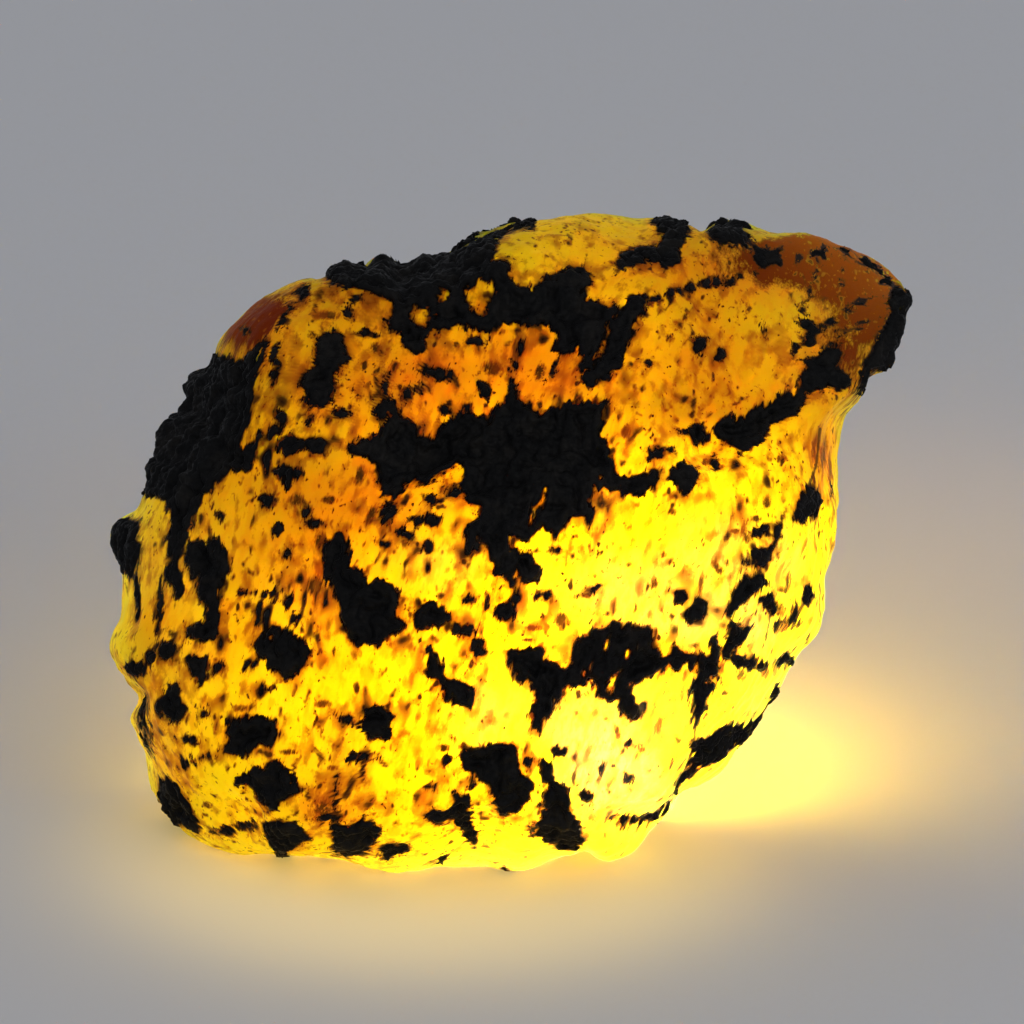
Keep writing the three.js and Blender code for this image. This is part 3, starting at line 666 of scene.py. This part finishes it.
def joined_blobs(field, points, blobs, depth_at, join):
    """The field joined with each blob of a list in turn, near the blob only."""
    for blob in blobs:
        reach = 2 * max(blob[2], blob[3]) + 1.5
        away = np.abs(points[:, :2] - np.array(blob[:2]))
        near = np.flatnonzero(np.all(away < reach, axis=1) & (points[:, 2] > -3))
        field[near] = join(field[near], inside_blob(points[near], blob, depth_at))


def front_patches(points, seen):
    """How far inside the listed patches, less the windows, each point lies, mm. Patches fade out round the
    sides, unevenly, and sooner over the top."""
    u, v, w = seen.T
    depth_at = depth_finder(seen)
    front = np.full(len(points), -3.0)
    uneven = layered_noise(points, 2.4, 81, 2)
    earlier = 2.5 * uneven + ramp(v, 12.5, 15.5) * (2.5 + 4 * uneven)
    for flat in PATCHES:
        outline = list(zip(flat[::2], flat[1::2]))
        low, high = np.min(outline, axis=0) - 1.5, np.max(outline, axis=0) + 1.5
        near = np.flatnonzero((w > -6.5) & (u > low[0]) & (u < high[0]) & (v > low[1]) & (v < high[1]))
        inside = inside_outline(u[near], v[near], outline) - 2.5 * ramp(earlier[near] - w[near], 2.0, 6.5)
        front[near] = np.maximum(front[near], inside)
    joined_blobs(front, seen, BLOBS, depth_at, np.maximum)
    joined_blobs(front, seen, WINDOWS, depth_at, lambda field, inside: np.minimum(field, -inside))
    return front


def crust_depth_inside(points):
    """How far inside a patch of crust each point of the surface lies, mm, negative outside.

    In front it is how far the place, shifted by noise, lies inside the listed patches. Behind, it is where a
    broad noise is high. Noise along the fibres makes the edges ragged and cuts slits into them, and specks
    are added where a finer noise is high. Also gives the same without the specks.
    """
    shift = np.stack([layered_noise(points, 0.9, 10 + 3 * k, 2) for k in range(3)], axis=1) * 0.11
    seen = as_seen(points + shift)
    front = front_patches(points, seen)
    behind = (layered_noise(points, 6.0, 40, 4, 0.62) + 0.35 * gradient_noise(points, 1.4, 47) - 0.20) * 2.2
    field = np.maximum(front, behind - 4 * ramp(seen[:, 2], -6.0, -2.5))
    fibrous = stretched(points, STREAK, 0.35)
    ragged = 0.11 * layered_noise(points, 0.8, 60, 2, 0.6) + 0.20 * layered_noise(fibrous, 0.34, 66, 2, 0.8)
    field = field + ragged * ramp(field, -1.0, -0.2) - 0.05  # noise doesn't make patches of its own
    slits = np.maximum(gradient_noise(stretched(points, STREAK, 0.16), 0.34, 73) - 0.5, 0)
    field = field - 1.2 * slits * ramp(-field, -0.8, -0.1)
    crowding = gradient_noise(points, 4.5, 31) + 0.5 * ramp(field, -1.4, -0.3)
    coarse = gradient_noise(stretched(points, STREAK, 0.6), 0.8, 64) - 0.97 + 0.20 * crowding
    fine = gradient_noise(stretched(points, STREAK, 0.55), 0.42, 65) - 1.02 + 0.20 * crowding
    return np.maximum(field, np.maximum(coarse * 0.55, fine * 0.3)), field


def spots_at(points, spots, fade):
    """Soft rounded spots, 0 to 1.5: the sum of strength * exp(-(offset / half size)^2), fading out between
    the two depths of fade, towards the back."""
    u, v, w = as_seen(points).T
    total = np.zeros(len(points))
    for u0, v0, half_width, half_height, strength in spots:
        total += strength * np.exp(-(((u - u0) / half_width) ** 2 + ((v - v0) / half_height) ** 2))
    return np.clip(total, 0, 1.5) * ramp(w, *fade)


def thin_spots_at(points):
    """Thin brown spots, 0 to 1: the largest of the spots' values exp(-(offset / half size)^2), each spot
    turned as its row says."""
    u, v, w = as_seen(points).T
    largest = np.zeros(len(points))
    for spot in THIN_SPOTS:
        along, up = turned(u, v, spot)
        largest = np.maximum(largest, np.exp(-(along**2) - up**2))
    return largest * ramp(w, -3, 1)


# ---- meshes ----


def to_frame(points, middle):
    """From the stone's axes, mm, to the frame, m: leaned back about u, and moved over the origin."""
    u, v, w = points.T
    x = u - middle[0]
    y = v * math.sin(LEAN) - w * math.cos(LEAN) - middle[1]
    z = v * math.cos(LEAN) + w * math.sin(LEAN) + REST_DEPTH
    return np.stack([x, y, z], axis=1) / 1000


def make_mesh(name, points, faces, material):
    """A mesh object at the origin from vertices and faces of four corners."""
    mesh = bpy.data.meshes.new(name)
    mesh.vertices.add(len(points))
    mesh.vertices.foreach_set("co", points.astype(np.float32).ravel())
    mesh.loops.add(faces.size)
    mesh.loops.foreach_set("vertex_index", faces.astype(np.int32).ravel())
    mesh.polygons.add(len(faces))
    mesh.polygons.foreach_set("loop_start", np.arange(0, faces.size, 4, dtype=np.int32))
    mesh.polygons.foreach_set("use_smooth", np.full(len(faces), True))
    mesh.update()
    mesh.validate()
    mesh.materials.append(material)
    piece = bpy.data.objects.new(name, mesh)
    bpy.context.scene.collection.objects.link(piece)
    return piece


def fine_relief(points):
    """The stone's own small relief, mm: low lumps, fine ribs and grooves that run along the fibres, and the
    nodules, height * exp(-(distance in u and v / reach)^2 - (w / 6)^2)."""
    lumps = 0.16 * layered_noise(points, 2.6, 80, 3, 0.5)
    ribs = 0.06 * layered_noise(stretched(points, STREAK, 0.15), 0.6, 90, 2, 0.6)
    nodules = np.zeros(len(points))
    for u0, v0, reach, height in NODULES:
        away = ((points[:, 0] - u0) ** 2 + (points[:, 1] - v0) ** 2) / reach**2
        nodules += height * np.exp(-away - (points[:, 2] / 6) ** 2)
    return lumps + ribs + nodules


def stone_sink(field):
    """How far the stone's surface lies below its outline under the crust, mm, so that the crust's top
    comes back to the outline."""
    return STONE_SINK * ramp(field, -0.1, 0.55)


def build_stone():
    """The stone itself, and the middle of its box across u and along the floor."""
    directions, faces = ball_grid(STONE_CELLS, CROWDING)
    directions = evened(directions, faces, 4)
    base = directions * surface_distance(directions)[:, None]
    field, patches = crust_depth_inside(base)
    normals = outward_normals(base, faces)
    points = cut_flat(base + normals * (fine_relief(base) - stone_sink(field))[:, None])
    x, y, _ = to_frame(cut_flat(base), (0, 0)).T * 1000
    middle = ((x.min() + x.max()) / 2, (y.min() + y.max()) / 2)
    piece = make_mesh("stone", to_frame(points, middle), faces, crystal_material(middle))
    for name, values in (
        ("crust_distance", np.clip(field, -3, 1)),
        ("patch_distance", np.clip(patches, -3, 1)),
        ("stain", spots_at(base, STAINS, fade=(-4, 3))),
        # painted shade where the glow through the stone is dim
        ("painted_shade", spots_at(base, PAINTED_SHADE_SPOTS, fade=(-8, -4))),
        # painted light where the glow through the stone is brightest
        ("painted_glow", spots_at(base, PAINTED_GLOW_SPOTS, fade=(-8, -4))),
        ("thin_spots", thin_spots_at(base)),
    ):
        attribute = piece.data.attributes.new(name, "FLOAT", "POINT")
        attribute.data.foreach_set("value", values.astype(np.float32))
    return piece, middle


def one_way_edges(faces, count):
    """Start and end vertices of the edges that have a face on one side only, in the face's order."""
    start, end = faces.ravel(), np.roll(faces, -1, axis=1).ravel()
    key = start.astype(np.int64) * count + end
    border = ~np.isin(key, end.astype(np.int64) * count + start)
    return start[border], end[border]


def without_corner_touches(faces, count):
    """Faces of a patch, less those round a vertex where two parts of it touch at a corner only."""
    while True:
        start, _ = one_way_edges(faces, count)
        touching = np.bincount(start, minlength=count) > 1
        if not touching.any():
            return faces
        faces = faces[~np.any(touching[faces], axis=1)]


def connected_groups(faces, count):
    """A label for each vertex that is the same for all vertices joined by faces."""
    label = np.arange(count)
    a, b = faces.ravel(), np.roll(faces, 1, axis=1).ravel()
    while True:
        before = label.copy()
        low = np.minimum(label[a], label[b])
        np.minimum.at(label, a, low)
        np.minimum.at(label, b, low)
        label = label[label]
        if np.array_equal(before, label):
            return label


def closed_shell(faces, top, under):
    """Points and faces of a shell: the faces on top, the same turned over beneath, and walls between."""
    used, part = np.unique(faces, return_inverse=True)
    part = part.reshape(-1, 4)
    a, b = one_way_edges(part, len(used))
    walls = np.stack([a, a + len(used), b + len(used), b], axis=1)
    all_faces = np.concatenate([part, part[:, ::-1] + len(used), walls])
    return np.concatenate([top[used], under[used]]), all_faces


def crust_height(base, field):
    """How far the crust's top stands off the stone's surface, mm: it rises from its edge to a plateau, with
    rounded lumps of three sizes packed together on it, and noise over them."""
    wobble = np.stack([gradient_noise(base, 1.3, 5 + k) for k in range(3)], axis=1) * 0.3
    knobs = 0.75 * (lump_field(base + wobble, 1.25, 70) - 0.78)
    knobs = knobs + 0.34 * (lump_field(base + wobble, 0.55, 71) - 0.75)
    knobs = knobs + 0.09 * layered_noise(base, 0.5, 74, 3, 0.6)
    knobs = knobs + 0.55 * (lump_field(base + 2 * wobble, 2.3, 76) - 0.72) * ramp(field, 0.5, 1.6)
    edge = CRUST_EDGE + CRUST_RISE * ramp(field, CRUST_EDGE, 0.22)
    return edge + np.maximum(knobs + 0.08, -0.25) * ramp(field, 0.0, 0.5)


def build_crust(material, middle):
    """The crust: closed shells over the patches. The top rises from below the stone's surface at a patch's
    edge to a lumpy plateau, and the underside lies inside the stone."""
    directions, faces = ball_grid(CRUST_CELLS, CROWDING)
    directions = evened(directions, faces, 3)
    base = directions * surface_distance(directions)[:, None]
    field, _ = crust_depth_inside(base)
    normals = outward_normals(base, faces)
    stone_top = fine_relief(base) - stone_sink(field)
    top = cut_flat(base + normals * (stone_top + crust_height(base, field))[:, None])
    under = cut_flat(base + normals * (stone_top - CRUST_ROOT)[:, None])
    chosen = without_corner_touches(faces[np.all(field[faces] > CRUST_EDGE, axis=1)], len(base))
    group = connected_groups(chosen, len(base))[chosen[:, 0]]
    chosen = chosen[np.bincount(group)[group] >= SMALLEST_GROUP]
    groups, group = np.unique(connected_groups(chosen, len(base))[chosen[:, 0]], return_inverse=True)
    centre = summed(group, base[chosen[:, 0]], len(groups)) / np.bincount(group)[:, None]
    places = np.array(list(CRUST_PLACES.values()))
    nearest = np.argmin(np.linalg.norm(centre[:, None] - places[None], axis=2), axis=1)
    pieces = []
    for number, name in enumerate(CRUST_PLACES):
        part = chosen[nearest[group] == number]
        if len(part):
            points, shell = closed_shell(part, top, under)
            pieces.append(make_mesh("crust_" + name, to_frame(points, middle), shell, material))
    return pieces


# ---- materials ----


class Finish:
    """A material in the making: its shader, and calls that add nodes to it."""

    def __init__(self, name):
        self.material = bpy.data.materials.new(name)
        self.material.use_nodes = True
        self.tree = self.material.node_tree
        self.tree.nodes.clear()
        self.shader = self.node("ShaderNodeBsdfPrincipled")
        self.node("ShaderNodeOutputMaterial", {"Surface": self.shader.outputs["BSDF"]})

    def set(self, node, inputs):
        """Inputs, by name or number, set to values or joined to other nodes' outputs."""
        for name, value in inputs.items():
            if isinstance(value, bpy.types.NodeSocket):
                self.tree.links.new(value, node.inputs[name])
            else:
                node.inputs[name].default_value = value
        return node

    def node(self, kind, inputs=None, **settings):
        """A node with its settings and its inputs."""
        node = self.tree.nodes.new(kind)
        for name, value in settings.items():
            setattr(node, name, value)
        return self.set(node, inputs or {})

    def axes(self, middle=(0, 0)):
        """Object coordinates in millimetres along the stone's own u, v and w, with the middle of its box
        given."""
        across = middle[0] - VIEW_U * VIEW_GROWTH
        back = (across, middle[1] * math.sin(LEAN) - REST_DEPTH * math.cos(LEAN), 0)
        place = self.node("ShaderNodeTexCoord").outputs["Object"]
        turn = (LEAN - math.pi / 2, 0, 0)
        inputs = {"Vector": place, "Rotation": turn, "Scale": (1000,) * 3, "Location": back}
        return self.node("ShaderNodeMapping", inputs).outputs["Vector"]

    def along_fibres(self, axes):
        """The stone's axes turned so that Y runs along its fibres."""
        inputs = {"Vector": axes, "Rotation": (0, 0, STREAK_TURN)}
        return self.node("ShaderNodeMapping", inputs).outputs["Vector"]

    def noise(self, place, size, detail=2.0, roughness=0.5, along=1.0, shift=0.0):
        """Noise about size mm across, drawn out along the fibres, as a value round 0.5."""
        scale = (1 / size, along / size, 1 / size)
        spread = self.node("ShaderNodeMapping", {"Vector": place, "Scale": scale, "Location": (shift,) * 3})
        inputs = {"Vector": spread.outputs["Vector"], "Scale": 1.0, "Detail": detail, "Roughness": roughness}
        return self.node("ShaderNodeTexNoise", inputs).outputs["Fac"]

    def step(self, value, low, high, start=0.0, end=1.0):
        """start below low, end above high, smooth between."""
        inputs = {"Value": value, "From Min": low, "From Max": high, "To Min": start, "To Max": end}
        return self.node("ShaderNodeMapRange", inputs, interpolation_type="SMOOTHSTEP").outputs["Result"]

    def combine(self, operation, *values):
        """Values taken together, one after another, by a Math node's operation."""
        total = values[0]
        for value in values[1:]:
            total = self.node("ShaderNodeMath", {0: total, 1: value}, operation=operation).outputs["Value"]
        return total

    def add(self, *values):
        """Sum of the values."""
        return self.combine("ADD", *values)

    def times(self, *values):
        """Product of the values."""
        return self.combine("MULTIPLY", *values)

    def mix(self, amount, under, over):
        """A colour that goes from under to over by amount."""
        return self.node("ShaderNodeMix", {0: amount, 6: under, 7: over}, data_type="RGBA").outputs[2]

    def attribute(self, name):
        """A value that the piece holds at its vertices."""
        return self.node("ShaderNodeAttribute", attribute_name=name).outputs["Fac"]

    def bump(self, height, distance, strength):
        """Normals of a fine relief, distance deep in metres."""
        inputs = {"Height": height, "Distance": distance, "Strength": strength}
        return self.node("ShaderNodeBump", inputs).outputs["Normal"]


def line_group():
    """Node group: how far a place lies from the line between two others, seen along w."""
    group = bpy.data.node_groups.new("distance to a line", "ShaderNodeTree")
    for name in ("Place", "Start", "End"):
        group.interface.new_socket(name, in_out="INPUT", socket_type="NodeSocketVector")
    group.interface.new_socket("Distance", in_out="OUTPUT", socket_type="NodeSocketFloat")
    ends = group.nodes.new("NodeGroupInput").outputs

    def vector(operation, *values, output="Vector"):
        node = group.nodes.new("ShaderNodeVectorMath")
        node.operation = operation
        for socket, value in zip(node.inputs, values):
            if isinstance(value, bpy.types.NodeSocket):
                group.links.new(value, socket)
            else:
                socket.default_value = value
        return node.outputs[output]

    flat = vector("MULTIPLY", ends["Place"], (1, 1, 0))
    run = vector("SUBTRACT", ends["End"], ends["Start"])
    offset = vector("SUBTRACT", flat, ends["Start"])
    share = group.nodes.new("ShaderNodeMath")
    share.operation = "DIVIDE"
    share.use_clamp = True
    group.links.new(vector("DOT_PRODUCT", offset, run, output="Value"), share.inputs[0])
    group.links.new(vector("DOT_PRODUCT", run, run, output="Value"), share.inputs[1])
    scale = group.nodes.new("ShaderNodeVectorMath")
    scale.operation = "SCALE"
    group.links.new(run, scale.inputs["Vector"])
    group.links.new(share.outputs["Value"], scale.inputs["Scale"])
    distance = vector("DISTANCE", offset, scale.outputs["Vector"], output="Value")
    group.links.new(distance, group.nodes.new("NodeGroupOutput").inputs["Distance"])
    return group


def clear_colours(stone, place, fibre, fine_fibre):
    """Golden, clouded and streaked with amber along the fibres, with painted light, paler where the glow
    through the stone is brightest, and painted shade, ochre where it is dim.
    """
    broad = stone.noise(place, 4.0, 3.0, 0.6)
    cloud = stone.noise(place, 0.7, 3.0, 0.55, along=0.45, shift=21)
    colour = stone.mix(stone.step(broad, 0.35, 0.65), GOLD, DEEP_GOLD)
    # painted light: paler where the glow through the stone is brightest, in the clouds
    painted_glow_here = stone.times(stone.step(cloud, 0.36, 0.62, 0.25, 1.3), stone.attribute("painted_glow"))
    colour = stone.mix(painted_glow_here, colour, GLOW_PALE)
    colour = stone.mix(stone.step(cloud, 0.5, 0.68, 0, 0.5), colour, AMBER)
    colour = stone.mix(stone.step(fibre, 0.5, 0.72, 0, 0.4), colour, AMBER)
    colour = stone.mix(stone.step(fine_fibre, 0.52, 0.72, 0, 0.2), colour, AMBER)
    # painted shade: ochre where the glow through the stone is dim
    return stone.mix(stone.attribute("painted_shade"), colour, SHADE_OCHRE), cloud


def with_stain(stone, colour, blotch, wander):
    """Rust by the stain's strength, more in blotches, and thin brown spots."""
    stain = stone.attribute("stain")
    rust = stone.times(stone.step(blotch, 0.42, 0.62), stain)
    colour = stone.mix(stone.add(rust, stain), colour, RUST)
    spots = stone.times(stone.attribute("thin_spots"), stone.add(wander, wander, 1.0))
    colour = stone.mix(stone.step(spots, 0.2, 0.5, 0, 0.75), colour, BROWN)
    return stone.mix(stone.step(spots, 0.45, 0.75, 0, 0.85), colour, DARK_BROWN), stain


def with_rims(stone, colour, edge, stain, cloud, blotch, wander):
    """Round the crust: a rusty halo where it is cloudy, a brown rim of varying width, then dark, then black.
    The strongest stain lies over the rim and under the dark."""
    halo = stone.times(stone.step(edge, -0.8, -0.1, 0, 0.3), stone.step(cloud, 0.5, 0.64))
    colour = stone.mix(halo, colour, RUST)
    width = stone.step(blotch, 0.42, 0.62, -0.17, -0.5)
    colour = stone.mix(stone.step(edge, width, -0.06, 0.0, 0.85), colour, BROWN)
    deep = stone.add(stain, stone.times(blotch, 1.2), -0.6, stone.times(wander, 0.5))
    colour = stone.mix(stone.step(deep, 0.62, 1.0), colour, THIN_BROWN)
    colour = stone.mix(stone.step(edge, -0.15, -0.06, 0, 0.9), colour, DARK_BROWN)
    return stone.mix(stone.step(edge, -0.07, -0.02, 0, 1), colour, BLACK)


def with_specks(stone, colour, place, crust_near):
    """Dark specks with brown edges, in two sizes, crowded in places."""
    crowd = stone.noise(place, 2.4, 2.0, 0.5, shift=5)
    near = stone.step(crust_near, -1.6, -0.2, 0, 0.05)
    for size, shift, high in ((0.42, 11, 0.92), (0.2, 17, 0.935)):
        grain = stone.noise(place, size, 1.0, 0.5, along=0.6, shift=shift)
        level = stone.add(grain, stone.times(crowd, 0.34), near)
        colour = stone.mix(stone.step(level, high - 0.05, high + 0.03, 0, 0.7), colour, BROWN)
        colour = stone.mix(stone.step(level, high + 0.02, high + 0.08, 0, 0.9), colour, DARK_BROWN)
    return colour


def with_cracks(stone, colour, axes, wander):
    """Fine dark cracks, on the front only: bands beside the cracks' lines, of a width that varies with the
    fibres."""
    group = line_group()
    bands = []
    for u0, v0, u1, v1, half_width in CRACKS:
        ends = {"Place": axes, "Start": (u0, v0, 0), "End": (u1, v1, 0)}
        line = stone.set(stone.node("ShaderNodeGroup", node_tree=group), ends)
        away = stone.add(line.outputs["Distance"], stone.times(wander, -0.12))
        bands.append(stone.step(away, half_width * 0.6, half_width * 1.6, 0.85, 0))
    front = stone.node("ShaderNodeSeparateXYZ", {"Vector": axes}).outputs["Z"]
    amount = stone.times(stone.combine("MAXIMUM", *bands), stone.step(front, 0, 2))
    return stone.mix(amount, colour, DARK_BROWN)


def crystal_material(middle):
    """Golden stone: light scatters far inside it. Fibres, stain, painted light and shade, rims round the
    crust, specks and fine cracks colour it."""
    stone = Finish("yellow crystal")
    axes = stone.axes(middle)
    place = stone.along_fibres(axes)
    fibre = stone.noise(place, 0.24, 3.0, 0.6, along=0.14)
    fine_fibre = stone.noise(place, 0.09, 2.0, 0.6, along=0.15, shift=7)
    blotch = stone.noise(place, 1.1, 4.0, 0.65, along=0.5, shift=3)
    wander = stone.add(fibre, fine_fibre, -1.0)
    crust_near = stone.attribute("crust_distance")
    patch_near = stone.add(stone.attribute("patch_distance"), stone.times(wander, 0.6))
    edge = stone.combine("MAXIMUM", crust_near, patch_near)
    colour, cloud = clear_colours(stone, place, fibre, fine_fibre)
    colour, stain = with_stain(stone, colour, blotch, wander)
    colour = with_rims(stone, colour, edge, stain, cloud, blotch, wander)
    colour = with_specks(stone, colour, place, crust_near)
    values = {
        "Base Color": with_cracks(stone, colour, axes, wander),
        "Roughness": 0.5,
        "Specular IOR Level": 0.03,
        "Subsurface Weight": 1.0,
        "Subsurface Radius": SCATTER_RADIUS,
        "Subsurface Scale": SCATTER_DEPTH,
        "Normal": stone.bump(fibre, 0.00004, 0.6),
    }
    stone.set(stone.shader, values)
    return stone.material


def crust_material():
    """Near-black mineral crust, patchy in colour, with a fine grain in its gloss and relief."""
    crust = Finish("black crust")
    place = crust.along_fibres(crust.axes())
    grain = crust.noise(place, 0.25, 4.0, 0.65)
    patchy = crust.noise(place, 1.4, 3.0, 0.6, shift=9)
    values = {
        "Base Color": crust.mix(crust.step(patchy, 0.45, 0.7), CRUST_BLACK, CRUST_GREY),
        "Roughness": crust.step(grain, 0.35, 0.62, 0.75, 0.38),
        "Specular IOR Level": 0.08,
        "Normal": crust.bump(grain, 0.00012, 0.8),
    }
    crust.set(crust.shader, values)
    return crust.material


def floor_material():
    """Plain pale matt floor."""
    floor = Finish("pale floor")
    floor.set(floor.shader, {"Base Color": FLOOR_COLOUR, "Roughness": 0.8})
    return floor.material


# ---- the stage ----


def build_floor():
    """A plain level sheet."""
    reach = FLOOR_REACH
    corners = np.array([(-reach, -reach), (reach, -reach), (reach, reach), (-reach, reach)])
    points = np.column_stack([corners, np.full(4, FLOOR_LEVEL)])
    sheet = make_mesh("floor", points, np.array([[0, 1, 2, 3]]), floor_material())
    return sheet


def area_light(name, place, target, size, watts, colour, spread):
    """A round lamp at a place, pointed at a target."""
    light = bpy.data.lights.new(name, "AREA")
    light.spread = math.radians(spread)
    light.shape = "DISK"
    light.size = size
    light.energy = watts
    light.color = colour
    lamp = bpy.data.objects.new(name, light)
    bpy.context.scene.collection.objects.link(lamp)
    lamp.location = place
    direction = np.array(target) - np.array(place)
    lamp.rotation_euler = Vector(direction).to_track_quat("-Z", "Y").to_euler()
    return lamp


def lamps_for(rows, lit, shading):
    """Lamps that light only the pieces lit and are shaded only by the pieces shading."""
    for row in rows:
        linking = area_light(*row).light_linking
        linking.receiver_collection = lit
        linking.blocker_collection = shading


def collection_of(name, pieces):
    """A collection of pieces, for saying which lamps light them."""
    collection = bpy.data.collections.new(name)
    for piece in pieces:
        collection.objects.link(piece)
    return collection


# ---- the pieces ----
crust = crust_material()
stone, middle = build_stone()
crust_pieces = build_crust(crust, middle)

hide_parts("rough_sapphire")
for piece in [stone, *crust_pieces]:
    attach(piece, "root")

# ---- the floor, the lamps and the camera ----
floor = build_floor()
scene = bpy.context.scene
scene.view_settings.view_transform = "Standard"
world = bpy.data.worlds.new("studio")
world.use_nodes = True
world.node_tree.nodes["Background"].inputs["Color"].default_value = SKY_COLOUR
world.node_tree.nodes["Background"].inputs["Strength"].default_value = SKY_STRENGTH
scene.world = world

area_light(*KEY_LAMP)
stone_alone = collection_of("stone alone", [stone])
stone_and_crust = collection_of("stone and crust", [stone, *crust_pieces])
floor_alone = collection_of("floor alone", [floor])
lamps_for(STONE_LAMPS, stone_alone, stone_and_crust)
lamps_for(FLOOR_LAMPS, floor_alone, floor_alone)

camera = bpy.data.cameras.new("camera")
camera.sensor_width = 36
camera.lens = 36 * VIEW_DISTANCE / VIEW_WIDTH
camera.clip_start = 0.01
eye = bpy.data.objects.new("camera", camera)
scene.collection.objects.link(eye)
eye.location = tuple(to_frame(np.array([[VIEW_U, VIEW_V, VIEW_DISTANCE]]), middle)[0])
eye.rotation_euler = (math.pi / 2 - LEAN, 0, 0)
scene.camera = eye
